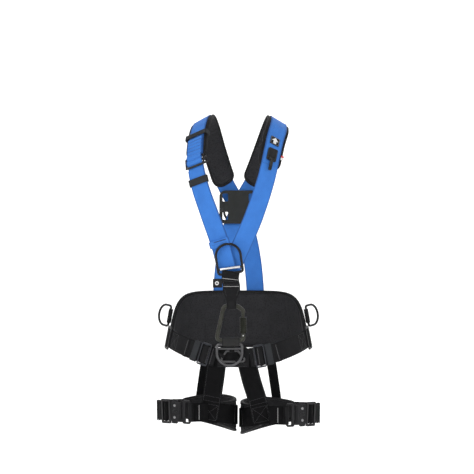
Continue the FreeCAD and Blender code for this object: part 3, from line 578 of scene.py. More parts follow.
def circle(count):
    """Points of a unit circle, anticlockwise."""
    turns = [2 * math.pi * k / count for k in range(count)]
    return [(math.cos(a), math.sin(a)) for a in turns]


def arc(centre, radius, start, end, steps=10):
    """Points on an arc in the local YZ plane; degrees from +Y towards +Z."""
    out = []
    for k in range(steps + 1):
        a = math.radians(start + (end - start) * k / steps)
        out.append(Vector((0, centre[0] + radius * math.cos(a), centre[1] + radius * math.sin(a))))
    return out


def run(a, b, steps=6):
    """Points strictly between a and b."""
    return [a.lerp(b, k / steps) for k in range(1, steps)]


def closed_band_path(y1, r1, y2, r2):
    """Closed loop round an upper bar and a lower bar, each given by its y and a radius."""
    top, low = arc((y1, 0), r1, -90, 90), arc((y2, 0), r2, 90, 270)
    return top + run(top[-1], low[0], 10) + low + run(low[-1], top[0], 10)


# ---- sewing -------------------------------------------------------------------------------
class Thread:
    """Collects single stitches, each a small round-ended bead of thread, into one mesh."""

    def __init__(self):
        self.verts, self.faces = [], []

    def stitch(self, a, b, normal, radius=THREAD_R):
        along = b - a
        side = along.normalized().cross(normal).normalized()
        up = side.cross(along.normalized()).normalized()
        base = len(self.verts)
        for t, r, sink in ((0.0, 0.45, -0.5), (0.2, 0.95, 0.2), (0.8, 0.95, 0.2), (1.0, 0.45, -0.5)):
            for k in range(6):
                angle = math.pi * k / 3
                self.verts.append(a + along * t + side * (radius * r * math.cos(angle))
                                  + up * (radius * (r * math.sin(angle) + sink)))
        for ring in range(3):
            for k in range(6):
                i = (k + 1) % 6
                self.faces.append((base + ring * 6 + k, base + ring * 6 + i,
                                   base + ring * 6 + 6 + i, base + ring * 6 + 6 + k))
        self.faces.append(tuple(base + k for k in range(5, -1, -1)))
        self.faces.append(tuple(base + 18 + k for k in range(6)))

    def seam(self, surface, a, b, pitch=3.4, fill=0.72, radius=THREAD_R):
        """Straight seam on a surface function of (s, c) from a to b."""
        count = max(1, round(math.dist(a, b) / pitch))
        for k in range(count):
            t0, t1 = k / count, (k + fill) / count
            q = [(a[0] + (b[0] - a[0]) * t, a[1] + (b[1] - a[1]) * t) for t in (t0, t1)]
            p0, p1 = surface(*q[0]), surface(*q[1])
            d0, d1 = surface(q[0][0] + 0.5, q[0][1]) - p0, surface(q[0][0], q[0][1] + 0.5) - p0
            self.stitch(p0, p1, d0.cross(d1), radius)

    def tack(self, surface, s, c0, c1, reach=1.3, pitch=0.85, radius=0.42):
        """Bar-tack: close zigzag across the strap."""
        count = max(2, round(abs(c1 - c0) / pitch))
        for k in range(count):
            a, b = c0 + (c1 - c0) * k / count, c0 + (c1 - c0) * (k + 0.6) / count
            sign = 1 if k % 2 else -1
            p0, p1 = surface(s - reach * sign, a), surface(s + reach * sign, b)
            normal = (surface(s + 0.5, a) - surface(s, a)).cross(surface(s, a + 0.5) - surface(s, a))
            self.stitch(p0, p1, normal, radius)

    def box(self, surface, s0, s1, c0, c1, cross=True):
        """Sewn rectangle, with its diagonals."""
        corners = [(s0, c0), (s1, c0), (s1, c1), (s0, c1)]
        for a, b in zip(corners, corners[1:] + corners[:1]):
            self.seam(surface, a, b)
        if cross:
            self.seam(surface, corners[0], corners[2])
            self.seam(surface, corners[1], corners[3])

    def build(self, name, look="thread_dark", slot="webbing_black", body="harness"):
        return piece(name, self.verts, self.faces, look, body, None, 60)


def top_of(strap_piece):
    return lambda s, c: strap_piece.at(s, c, strap_piece.thickness + 0.05)


# ---- pads ----------------------------------------------------------------------------------
def puff(obj, voxel, cap, pressure=4.0):
    """Inflate a pad a little by cloth simulation, so that it takes natural unevenness."""
    scene = bpy.context.scene
    remesh = obj.modifiers.new("Remesh", "REMESH")
    remesh.mode = "VOXEL"
    remesh.voxel_size = voxel
    remesh.use_smooth_shade = True
    shape = bpy.data.meshes.new_from_object(obj.evaluated_get(bpy.context.evaluated_depsgraph_get()))
    obj.modifiers.clear()
    obj.data = shape
    rest = [v.co.copy() for v in shape.vertices]
    soft = obj.modifiers.new("Cloth", "CLOTH")
    soft.settings.use_pressure = True
    soft.settings.uniform_pressure_force = pressure
    soft.settings.effector_weights.gravity = 0.0
    soft.point_cache.frame_start, soft.point_cache.frame_end = 1, 20
    for step in range(1, 21):
        scene.frame_set(step)
    swollen = obj.evaluated_get(bpy.context.evaluated_depsgraph_get()).to_mesh()
    moved = [v.co.copy() for v in swollen.vertices]
    obj.modifiers.clear()
    for vertex, a, b in zip(shape.vertices, rest, moved):
        move = b - a
        if move.length > cap:
            move *= cap / move.length
        vertex.co = a + move
    scene.frame_set(1)
    smoother = obj.modifiers.new("Subdivision", "SUBSURF")
    smoother.levels = smoother.render_levels = 1
    fine = bpy.data.meshes.new_from_object(obj.evaluated_get(bpy.context.evaluated_depsgraph_get()))
    obj.modifiers.clear()
    obj.data = fine
    fine.polygons.foreach_set("use_smooth", [True] * len(fine.polygons))


def channels(obj, locate, depth_at):
    """Press sewn channels into a pad: depth_at gives the depth at a place on its face."""
    for vertex in obj.data.vertices:
        s, c, out = locate(vertex.co / MM)
        vertex.co -= out * (depth_at(s, c) * MM)


def pad_section(half, low, high, columns=9, edge=0.74):
    """Rounded cross-section of a pad, thinner at its edges: (across, height) points."""
    middle, t = (low + high) / 2, (high - low) / 2
    places = [math.sin(math.pi * (k / columns - 0.5)) for k in range(columns + 1)]
    swell = [edge + (1 - edge) * (1 - abs(x) ** 5) for x in places]
    under = [(half * x, middle - t * w) for x, w in zip(places, swell)]
    return under + [(c, 2 * middle - h) for c, h in reversed(under)]


def binding(name, loop, reach, half_thickness):
    """Tape folded over a pad's edge. loop holds (point, inward, normal) round the outline."""
    sections, us = [], [0.0]
    for k, (p, inward, normal) in enumerate(loop):
        row = []
        for j in range(12):
            a = 2 * math.pi * j / 12
            x, y = math.cos(a), math.sin(a)
            x, y = math.copysign(abs(x) ** 0.62, x), math.copysign(abs(y) ** 0.62, y)
            row.append(p + inward * (reach * (0.88 + x)) + normal * (y * half_thickness))
        sections.append(row)
        us.append(us[-1] + (loop[(k + 1) % len(loop)][0] - p).length)
    vs = [j * 2.0 for j in range(13)]
    verts, faces, uvs = skin(sections, us, vs, True)
    piece(name, verts, faces, "binding", "harness", uvs, 60)
    sewing = Thread()
    count = len(loop)
    for k in range(count):
        p, inward, normal = loop[k]
        q, inward2, normal2 = loop[(k + 1) % count]
        for side in (1, -1):
            a = p + inward * reach * 1.62 + normal * (side * half_thickness * 0.93)
            b = q + inward2 * reach * 1.62 + normal2 * (side * half_thickness * 0.93)
            sewing.stitch(a, a.lerp(b, 0.72), normal * side)
    sewing.build(name + "_seam", slot="padding")


def evened(points, pitch=4.0):
    """Closed chain of points respaced at an even pitch."""
    total, reach = 0.0, [0.0]
    ring = points + points[:1]
    for a, b in zip(ring, ring[1:]):
        total += (b - a).length
        reach.append(total)
    out, k = [], 0
    count = max(8, round(total / pitch))
    for j in range(count):
        goal = total * j / count
        while reach[k + 1] < goal:
            k += 1
        out.append(ring[k].lerp(ring[k + 1], (goal - reach[k]) / max(reach[k + 1] - reach[k], 1e-9)))
    return out


def framed_loop(points, normal_at):
    """Outline points with their inward and normal directions."""
    centre_loop = evened(points)
    n = len(centre_loop)
    out = []
    for k, p in enumerate(centre_loop):
        along = (centre_loop[(k + 1) % n] - centre_loop[k - 1]).normalized()
        normal = normal_at(p)
        inward = normal.cross(along).normalized()
        out.append((p, inward, along.cross(inward).normalized()))
    return out


def turned_inward(loop, k, target):
    """The loop, with its inward directions reversed if the one at k points away from a target."""
    if loop[k][1].dot(target - loop[k][0]) >= 0:
        return loop
    return [(p, -inward, normal) for p, inward, normal in loop]


def strip_pad(name, route, start, end, width, thickness, height, node, look, tube, cap):
    """Pad laid on a route: width is a function of the length and falls to nothing at its ends."""
    rows = max(8, round((end - start) / 6))
    low, high = height + cap * 0.8, height + thickness - cap * 0.8
    sections = []
    for k in range(rows + 1):
        s = start + 1.5 + (end - start - 3) * k / rows
        p, _, across, face = route.axes(s)
        half = max(width(s) / 2 - 0.6, 4.0)
        sections.append([p + across * c + face * h for c, h in pad_section(half, low, high)])
    n = len(sections[0])
    verts, faces, _ = skin(sections, [0] * (rows + 2), [0] * (n + 1))
    pad = piece(name, verts, faces, look)
    puff(pad, 0.0042, cap * MM)
    middle = height + thickness / 2

    def locate(p):
        s = route.reach[min(range(len(route.line)), key=lambda k: (route.line[k] - p).length_squared)]
        origin, along, across, face = route.axes(s)
        d = p - origin
        return s + d.dot(along), d.dot(across), face * (1 if d.dot(face) > middle else -1)

    def depth_at(s, _):
        line = abs((s - start + 14) % 28 - 14)
        return 0.9 * max(0.0, 1 - line / 3.0)
    channels(pad, locate, depth_at)
    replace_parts(pad, node)
    edge = []
    steps = 60
    for sign in (1, -1):
        order = range(steps + 1) if sign == 1 else range(steps, -1, -1)
        for k in order:
            s = start + (end - start) * 0.5 * (1 - math.cos(math.pi * k / steps))
            p, _, across, face = route.axes(s)
            edge.append(p + across * (sign * width(s) / 2) + face * middle)
    loop = framed_loop(edge, lambda p: route.axes(route.nearest(lambda q: (q - p).length_squared))[3])
    binding(name + "_binding", turned_inward(loop, 25, loop[-25][0]), *tube)


def round_ended(full, start, end, reach):
    """Width of a strip with rounded ends, as a function of the length."""
    def width(s):
        f = min(s - start, end - s) / reach
        return full if f >= 1 else full * (1 - (1 - max(f, 0.0)) ** END_POWER) ** (1 / END_POWER)
    return width


# ---- shoulder straps ---------------------------------------------------------------------
def shoulder_parts():
    for side in (RIGHT, LEFT):
        name = SIDE[side]
        r = shoulder[side]
        bars = [(shoulder_at(RIGHT, ADJUSTER_Z), CLIMB, BAR_HALF)] if side == RIGHT else ()
        main = Strap(r, 0, r.length, height=LIFT[side], bars=bars)
        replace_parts(main.build(name + "_shoulder_webbing", "blue", "webbing_blue"), name + "_shoulder_strap")
        front, back = (404.0, 350.0) if side == RIGHT else (378.0, 350.0)
        start, end = shoulder_at(side, front), shoulder_at(side, back, False)
        strip_pad(name + "_shoulder_cushion", r, start, end, round_ended(59.0, start, end, 26), 7.0,
                  LIFT[side] - 7.5, name + "_shoulder_pad", "mesh", (3.4, 3.6), 1.2)
        sewing = Thread()
        top = top_of(main)
        for c in (-19.5, 19.5):
            sewing.seam(top, (start + 12, c), (end - 8, c))
        for s in (start + 12, end - 8):
            sewing.seam(top, (s, -19.5), (s, 19.5))
        low = shoulder_at(side, 20, False)
        sewing.box(top, low, low + 22, -17, 17)
        sewing.build(name + "_shoulder_sewing", "thread_blue", "webbing_blue")


def shoulder_fittings():
    r = shoulder[RIGHT]
    doubled = LIFT[RIGHT] + 2 * WEB_T + GAP
    tail = Strap(r, shoulder_at(RIGHT, 199), shoulder_at(RIGHT, 378), height=LIFT[RIGHT] + WEB_T + GAP)
    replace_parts(tail.build("shoulder_tail", "blue", "webbing_blue"), "shoulder_fold")
    hem = Strap(r, tail.start - 5, tail.start + 13, width=50, thickness=3.4, height=doubled,
                taper=lambda s: 50 if s > tail.start - 2 else 50 - 1.6 * (tail.start - 2 - s) ** 1.4)
    hem.build("shoulder_tail_hem", "blue", "webbing_blue")
    sewing = Thread()
    sewing.tack(top_of(hem), tail.start + 9.5, -18, 12)
    sewing.seam(top_of(hem), (tail.start + 4, -20), (tail.start + 4, 20))
    # folds of webbing sewn down above the adjuster
    centre = shoulder_at(RIGHT, ADJUSTER_Z)
    ribs = Strap(r, centre + 4.2, shoulder_at(RIGHT, 449), width=43, thickness=2.4,
                 height=LIFT[RIGHT] + WEB_T + 0.3, bars=[(centre + 11.7, 3.6, 2.6)])
    first = centre + 19.0
    pitch = (ribs.end - first) / 5

    def fold_relief(s):
        return 2.1 * abs(math.sin(math.pi * (s - first) / pitch)) ** 0.5 if s > first else 0.0
    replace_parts(ribs.build("shoulder_folds_sewn", "blue", "webbing_blue", relief=fold_relief, step=1.0),
                "shoulder_stitched_end")
    sewing.build("shoulder_tail_sewing", "thread_blue", "webbing_blue")
    grooves = Thread()
    for k in range(1, 5):
        grooves.seam(lambda s, c: ribs.at(s, c, 2.6), (first + pitch * k, -18), (first + pitch * k, 18),
                     radius=0.7, fill=0.85)
    grooves.build("shoulder_fold_sewing", "thread_navy", "webbing_blue")
    keeper_band("chest_keeper_elastic", r, shoulder_at(RIGHT, 350), 17, LIFT[RIGHT], doubled,
                "chest_keeper", slack=1.5, edge=1.6, body="keeper_band")
    keeper_band("pad_keeper_elastic", r, shoulder_at(RIGHT, 458), 14, LIFT[RIGHT] - 8, doubled,
                "pad_keeper", width=58, slack=1.2)


def keeper_band(name, route, s, length, low, high, node=None, width=WEB, slack=0.8, edge=1.0, body="harness"):
    """Elastic band round the layers between two heights."""
    half = width / 2 + edge + 0.6
    low, high = low - slack - 0.6, high + slack + 0.6
    r = 1.6
    path = []
    for (y, z), start in (((half - r, high - r), 0), ((-half + r, high - r), 90),
                          ((-half + r, low + r), 180), ((half - r, low + r), 270)):
        corner = arc((y, z), r, start, start + 90, 5)
        if path:
            path += run(path[-1], corner[0], 8)
        path += corner
    path += run(path[-1], path[0], 8)
    obj = band(name, path, length, 1.2, "elastic", body, True, route.stand(s))
    if node:
        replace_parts(obj, node)
    return obj


def plate_outline(w, h, corner, steps=5):
    """Rounded rectangle in the local XY plane, anticlockwise."""
    out = []
    for cx, cy, start in ((w - corner, h - corner, 0), (-w + corner, h - corner, 90),
                          (-w + corner, -h + corner, 180), (w - corner, -h + corner, 270)):
        for k in range(steps + 1):
            a = math.radians(start + 90 * k / steps)
            out.append((cx + corner * math.cos(a), cy + corner * math.sin(a)))
    return out


def plate(name, outline, z0, z1, place, look, soft=0.3, body="harness"):
    """Flat piece with rounded rims, extruded from an outline."""
    cx = sum(x for x, y in outline) / len(outline)
    cy = sum(y for x, y in outline) / len(outline)
    rows = [(z0, soft), (z0 + soft, 0), (z1 - soft, 0), (z1, soft)]
    sections = []
    for z, inset in rows:
        ring = []
        for x, y in outline:
            d = math.hypot(x - cx, y - cy)
            f = 1 - inset / max(d, 1e-6)
            ring.append(place @ Vector((cx + (x - cx) * f, cy + (y - cy) * f, z)))
        sections.append(ring)
    n = len(outline)
    verts, faces, _ = skin(sections, [0] * 5, [0] * (n + 1))
    back = place.inverted()
    uvs = [[(back @ verts[k])[:2] for k in face] for face in faces]
    return piece(name, verts, faces, look, body, uvs=uvs)


def adjuster_roller():
    """Rounded bar over the adjuster's lower frame bar; its end stands out as a handle."""
    place = shoulder[RIGHT].stand(shoulder_at(RIGHT, ADJUSTER_Z), LIFT[RIGHT])
    sections = []
    for y, r in ((-36.5, 0.6), (-36.2, 1.6), (-35, 2.3), (-33, 2.5), (25, 2.4), (26.6, 2.0), (27.2, 0.8)):
        sections.append([place @ Vector((-11.8 + r * c, y, 4.7 + r * s)) for c, s in circle(20)])
    verts, faces, _ = skin(sections, [0] * 8, [0] * 21)
    piece("shoulder_adjuster_roller", verts, [f[::-1] for f in faces], "plastic")


def badge_parts():
    """Badge with a plain arrow, the parking plate's trim and a small side tag, on the left strap."""
    r = shoulder[LEFT]
    place = r.stand(shoulder_at(LEFT, 445), WEB_T + 0.6)
    badge = plate("shoulder_badge", plate_outline(12, 12, 2), 0, 1.0, place, "label")
    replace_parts(badge, "pad_patch")
    arrow = [(9.4, 0), (0.5, 8.6), (0.5, 3.8), (-8.6, 3.8), (-8.6, -3.8), (0.5, -3.8), (0.5, -8.6)]
    plate("shoulder_badge_arrow", arrow, 1.0, 1.35, place, "white", 0.12)
    sewing = Thread()
    sewing.box(lambda x, y: place @ Vector((x, y, 1.05)), -10.6, 10.6, -10.6, 10.6, cross=False)
    sewing.build("shoulder_badge_sewing", "thread_grey", "label_fabric")
    park = r.stand(shoulder_at(LEFT, 411), WEB_T + 0.4) @ Matrix.Rotation(math.pi, 4, "Z")
    face = [(x - 2.8, y) for x, y in plate_outline(10.4, 9.6, 2.6)]
    plate("park_plate_face", face, 2.5, 3.2, park, "grip", 0.25)
    for k, x in enumerate((31.5, 34.4, 37.3)):
        rib = [(x, -3.3), (x + 1.5, -3.3), (x + 1.5, 3.3), (x, 3.3)]
        plate("park_tab_rib_%d" % k, rib, 7.35, 7.9, park, "grip", 0.15, "parking_tab")
    spot = r.stand(shoulder_at(LEFT, 414), -3.2)
    sign = 1 if (spot @ Vector((0, 1, 0)) - spot.translation).x > 0 else -1
    for k, (look, x0, x1) in enumerate((("white", -5.5, 0.5), ("red", 0.5, 5.5))):
        outline = [(x0, sign * 24), (x1, sign * 24), (x1, sign * 31), (x0, sign * 31)]
        if sign < 0:
            outline = outline[::-1]
        plate("side_tag_%d" % k, outline, 5.2, 6.0, spot, look, 0.1)


# ---- chest connector and ventral loop ---------------------------------------------------
HARDWARE_Y = -136.2
CHEST_TILT, CHEST_X, CHEST_Z = 8.5, -18.0, 134.0
CARA_TOP, CARA_LOW = 57.0, -23.0
VENTRAL_X, VENTRAL_BAR_Z = -18.0, -32.8


def connector():
    """Webbing sewn flat between the chest ring's bar and the carabiner, narrowing downwards."""
    ring_r, cara_r = 3.0 + 0.4 + WEB_T / 2, 5.0 + 0.7 + WEB_T / 2
    flat = WEB_T / 2 + 0.05
    top = arc((CHEST_Z, 0), ring_r, -100, 100, 14)
    front = [Vector((0, y, flat)) for y in (117, 112, 106, 100, 94, 88, 82)]
    low = arc((CARA_TOP, 0), cara_r, 70, 290, 14)
    back = [Vector((0, y, -flat)) for y in (82, 88, 94, 100, 106, 112, 117)]
    path = (top + run(top[-1], front[0], 4) + front + run(front[-1], low[0], 6)
            + low + run(low[-1], back[0], 6) + back + run(back[-1], top[0], 4))

    def bend(p):
        """Lean the upper end with the ring."""
        f = min(max((p.y - 104) / 24, 0.0), 1.0)
        f = f * f * (3 - 2 * f)
        a = math.radians(CHEST_TILT) * f
        x, y = p.x, p.y - CHEST_Z
        return Vector((CHEST_X + 1.5 * (1 - f) + x * math.cos(a) + y * math.sin(a),
                       CHEST_Z - x * math.sin(a) + y * math.cos(a), p.z))

    def half_width(y):
        f = min(max((y - 64) / 32, 0.0), 1.0)
        return 11.2 + (20.5 - 11.2) * f * f * (3 - 2 * f)
    place = upright(0, HARDWARE_Y, 0)
    sections, us = [], [0.0]
    n = len(path)
    for k, p in enumerate(path):
        ahead, behind = path[(k + 1) % n], path[k - 1]
        out = (ahead - behind).normalized().cross(Vector((-1, 0, 0)))
        points, vs = web_outline(2 * half_width(p.y), WEB_T)
        sections.append([place @ bend(p + Vector((-c, 0, 0)) + out * (h - WEB_T / 2)) for c, h in points])
        us.append(us[-1] + (ahead - p).length)
    verts, faces, uvs = skin(sections, us, vs, True)
    strip = piece("chest_connector_webbing", verts, faces, "black", "harness", uvs, 50)
    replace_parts(strip, "chest_connector_strap")
    slope = (ring_r - flat) / 17

    def face(y, x):
        return place @ bend(Vector((x, y, flat + WEB_T / 2 + 0.1 + slope * max(y - 117, 0))))
    pale, dark = Thread(), Thread()
    for y in (120, 103):
        pale.tack(face, y, -18.5, 18.5, 0.8, 0.8)
    for y in (115, 108):
        dark.seam(face, (y, -17), (y, 17))
    for x in (-1, 1):
        dark.seam(face, (96, 16.5 * x), (72, 9.2 * x))
        dark.seam(face, (120, 18 * x), (103, 18 * x))
    pale.build("chest_connector_tacks", "thread_grey")
    dark.build("chest_connector_sewing")
    # rubber band that holds the carabiner's top bar in the fold
    grip = closed_band_path(CARA_TOP + 15, 3.2, CARA_TOP, cara_r + WEB_T / 2 + 0.75)
    band("carabiner_grip", grip, 13, 1.1, "binding", "harness", True,
         upright(CHEST_X + 1.5, HARDWARE_Y, 0))
    label_place = upright(CHEST_X + 2, HARDWARE_Y, 0) @ Matrix.Translation((-33, 110.5, 0))
    label = plate("connector_label", plate_outline(11, 10.5, 1.5), -0.6, 0.6, label_place,
                  "label")
    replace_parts(label, "marker_label")
    mark = (("disc", 4.6, 0.6, 0.85, "white"), ("centre", 2.2, 0.85, 1.05, "label"))
    for part, radius, z0, z1, look in mark:
        outline = [(x * radius - 1.5, y * radius) for x, y in circle(24)]
        plate("connector_label_" + part, outline, z0, z1, label_place, look, 0.1)


def ring_sleeve():
    """Bright tube on the chest ring's second bar."""
    place = upright(CHEST_X, HARDWARE_Y, CHEST_Z, CHEST_TILT)
    half, radius = 23.5, 3.15
    sections = []
    profile = ((-half, 2.65), (-half, 3.0), (-half + 0.4, radius),
               (half - 0.4, radius), (half, 3.0), (half, 2.65))
    for x, r in profile:
        sections.append([place @ Vector((x, 12.0 + r * c, r * s)) for c, s in circle(24)])
    verts, faces, _ = skin(sections, [0] * 7, [0] * 25, True)
    piece("chest_ring_sleeve", verts, faces, "bright", "chest_ring")


def ventral_webbing():
    half, top_r, low_r = 20.5, 5.0 + 0.7 + WEB_T / 2, 3.0 + 0.4 + WEB_T / 2
    path = closed_band_path(CARA_LOW, top_r, VENTRAL_BAR_Z, low_r)
    place = upright(VENTRAL_X, HARDWARE_Y, 0)
    loop = band("ventral_webbing", path, 2 * half, WEB_T, "loop", "harness", True, place)
    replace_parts(loop, "ventral_loop")


FRONT_Y, BRIDGE_Y = -121.0, -114.2
RING_LOW, RING_TOP = -74.0, -49.0
FRONT_RING = [(-44, RING_LOW), (19, RING_LOW), (-1, RING_TOP), (-28, RING_TOP)]


def fold_band(name, radius, width, length, place, slack=0.25):
    """Webbing folded round a bar on the local X axis, its layers towards +Y."""
    r = radius + slack + WEB_T / 2
    path = [Vector((0, length, r))] + run(Vector((0, length, r)), Vector((0, 0, r)), 4)
    path += arc((0, 0), r, 90, 270, 14)
    path += run(Vector((0, 0, -r)), Vector((0, length, -r)), 4) + [Vector((0, length, -r))]
    return band(name, path, width, WEB_T, place=place)


def gather_folds():
    folds = [fold_band("ring_fold_top", 2.4, 12, 19, upright(-15.5, FRONT_Y, RING_TOP))]
    slanted = (FRONT_RING[0], FRONT_RING[3]), (FRONT_RING[1], FRONT_RING[2])
    for k, ((x0, z0), (x1, z1)) in enumerate(slanted):
        slope = math.degrees(math.atan2(z1 - z0, x1 - x0))
        folds.append(fold_band("ring_fold_side_%d" % k, 2.4, 9, 20,
                               upright((x0 + x1) / 2, FRONT_Y, (z0 + z1) / 2, slope)))
    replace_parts(folds[0], "ring_folds")
    outline = [(-50, -88), (24, -88), (26, -46), (12, -38), (-38, -38), (-50, -46)]
    place = upright(0, BRIDGE_Y, 0)
    bridge = plate("belt_bridge_webbing", outline, 0, 1.2, place, "black")
    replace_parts(bridge, "belt_bridge")
    sewing = Thread()
    for y in (-86, -80):
        sewing.seam(lambda x, z: place @ Vector((x, z, 1.25)), (-47, y), (20, y))
    sewing.build("belt_bridge_sewing")


# ---- belt ------------------------------------------------------------------------------------
SIDE_S = 13.0
SIDE_X = {RIGHT: -80.0, LEFT: 50.0}
KEEPER_X = {RIGHT: -101.0, LEFT: 72.0}
TAIL_X = {RIGHT: -124.0, LEFT: 95.0}
PAD_EDGE = 96.0


def belt_levels(f):
    """Lowest and highest level of the belt pad; f runs from -1 to 1 round the back."""
    top = -6 + 91 * (1 - abs(f) ** 5)
    return -46 - 12 * math.cos(math.radians(PAD_EDGE * f)) ** 2, top


def belt_cushion():
    cap = 1.4
    sections = []
    rows = 96
    for k in range(rows + 1):
        f = (-1 + 2 * k / rows) * 0.993
        low, high = belt_levels(f)
        middle, half = (low + high) / 2, (high - low) / 2 - 0.8
        row = []
        for c, h in pad_section(half, PAD_GAP + cap, PAD_GAP + PAD_T - cap, 16):
            row.append(torso_point(PAD_EDGE * f, middle + c, h))
        sections.append(row)
    verts, faces, _ = skin(sections, [0] * (rows + 2), [0] * (len(sections[0]) + 1))
    faces = [face[::-1] for face in faces]
    pad = piece("belt_cushion", verts, faces, "mesh")
    puff(pad, 0.0048, cap * MM)

    def locate(p):
        out = torso_outward_level(p)
        surface = torso_point(math.degrees(math.atan2(p.x, p.y)), p.z, PAD_T / 2 + PAD_GAP)
        sign = 1 if math.hypot(p.x, p.y) > math.hypot(surface.x, surface.y) else -1
        return math.degrees(math.atan2(p.x, p.y)), p.z, out * sign

    def depth_at(turn, z):
        rib = abs((turn + 10) % 20 - 10) * 2.6
        level = min(abs(z - 34), abs(z + 34))
        return 1.1 * max(0.0, 1 - rib / 3.5) + 0.9 * max(0.0, 1 - level / 3.0)
    channels(pad, locate, depth_at)
    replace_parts(pad, "belt_pad")
    top, low = [], []
    for k in range(97):
        f = -1 + 2 * k / 96
        a, b = belt_levels(f)
        top.append(torso_point(PAD_EDGE * f, b, PAD_GAP + PAD_T / 2))
        low.append(torso_point(PAD_EDGE * f, a, PAD_GAP + PAD_T / 2))
    outline = top + run(top[-1], low[-1], 6) + low[::-1] + run(low[0], top[0], 6)
    loop = framed_loop(outline, torso_outward_level)
    binding("belt_binding", turned_inward(loop, len(loop) // 4, Vector((0, 110, 10))), 3.9, 4.4)


def doubled_tail(name, route, start, end, look, sewing):
    """Strap end that lies back on its strap, with a sewn hem."""
    tail = Strap(route, start, end, height=WEB_T + GAP)
    tail.build(name + "_tail", look)
    hem = Strap(route, tail.start, tail.start + 9, thickness=1.5, height=2 * WEB_T + 2 * GAP + 0.1)
    hem.build(name + "_tail_hem", look)
    sewing.tack(top_of(hem), tail.start + 4.5, -19, 19)


def belt_parts():
    start = belt.nearest(lambda p: (p - torso_point(-90, -21, 10)).length)
    end = belt.nearest(lambda p: (p - torso_point(90, -21, 10)).length)
    back = Strap(belt, start, end)
    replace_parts(back.build("belt_back_webbing"), "belt_webbing")
    sewing = Thread()
    for c in (-18, 18):
        sewing.seam(top_of(back), (start + 20, c), (end - 20, c))
    for f in (0.14, 0.38, 0.62, 0.86):
        s = start + (end - start) * f
        sewing.tack(top_of(back), s, -17, 17)
    sewing.build("belt_back_sewing")
    for side in (RIGHT, LEFT):
        name = SIDE[side]
        r = front_belt[side]
        adjust = belt_at(side, SIDE_X[side])
        base = Strap(r, 0, r.length - 4, bars=[(SIDE_S, CLIMB, BAR_HALF), (adjust, CLIMB, BAR_HALF)])
        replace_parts(base.build(name + "_belt_webbing"), name + "_belt_front_strap")
        threads = Thread()
        doubled_tail(name + "_belt", r, belt_at(side, TAIL_X[side]), adjust - 16, "black", threads)
        threads.box(top_of(base), SIDE_S + 20, SIDE_S + 44, -18, 18)
        for s in (r.length - 14, r.length - 24):
            threads.tack(top_of(base), s, -19, 19)
        threads.build(name + "_belt_sewing")
        keeper_band(name + "_belt_keeper", r, belt_at(side, KEEPER_X[side]), 15, 0, 2 * WEB_T + GAP,
                    "belt_keepers" if side == RIGHT else None)


# ---- side rings --------------------------------------------------------------------------
SIDE_BAR, SIDE_SLACK = 2.8, 0.3       # radius of a side ring's bar, and the webbing's slack on it


def side_loops():
    for side in (RIGHT, LEFT):
        name = SIDE[side]
        lift = PAD_GAP + PAD_T + 2.2 + WEB_T + SIDE_SLACK + SIDE_BAR
        low, high = (torso_point(side * 86.0, z, lift) for z in (6.0, 46.0))
        up, back = (high - low).normalized(), Vector((0, 1, 0))
        place = axes_matrix((low + high) / 2, up, back)
        loop = fold_band(name + "_side_loop", SIDE_BAR, 34, 30, place, slack=SIDE_SLACK)
        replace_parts(loop, name + "_side_ring_loop")
        outer = side * (place.to_3x3() @ Vector((0, 0, 1))).x
        level = (SIDE_BAR + SIDE_SLACK + WEB_T + 0.1) * (1 if outer > 0 else -1)
        sewing = Thread()
        sewing.box(lambda y, x: place @ Vector((x, y, level)), 9, 26, -14, 14)
        sewing.build(name + "_side_loop_sewing")


# ---- legs -----------------------------------------------------------------------------------
HOUSING_TURN, SLIDE_TURN = 26.0, 48.0
BUCKLE_LIFT, PLATE_T, CAVITY = 3.6, 1.8, 4.0


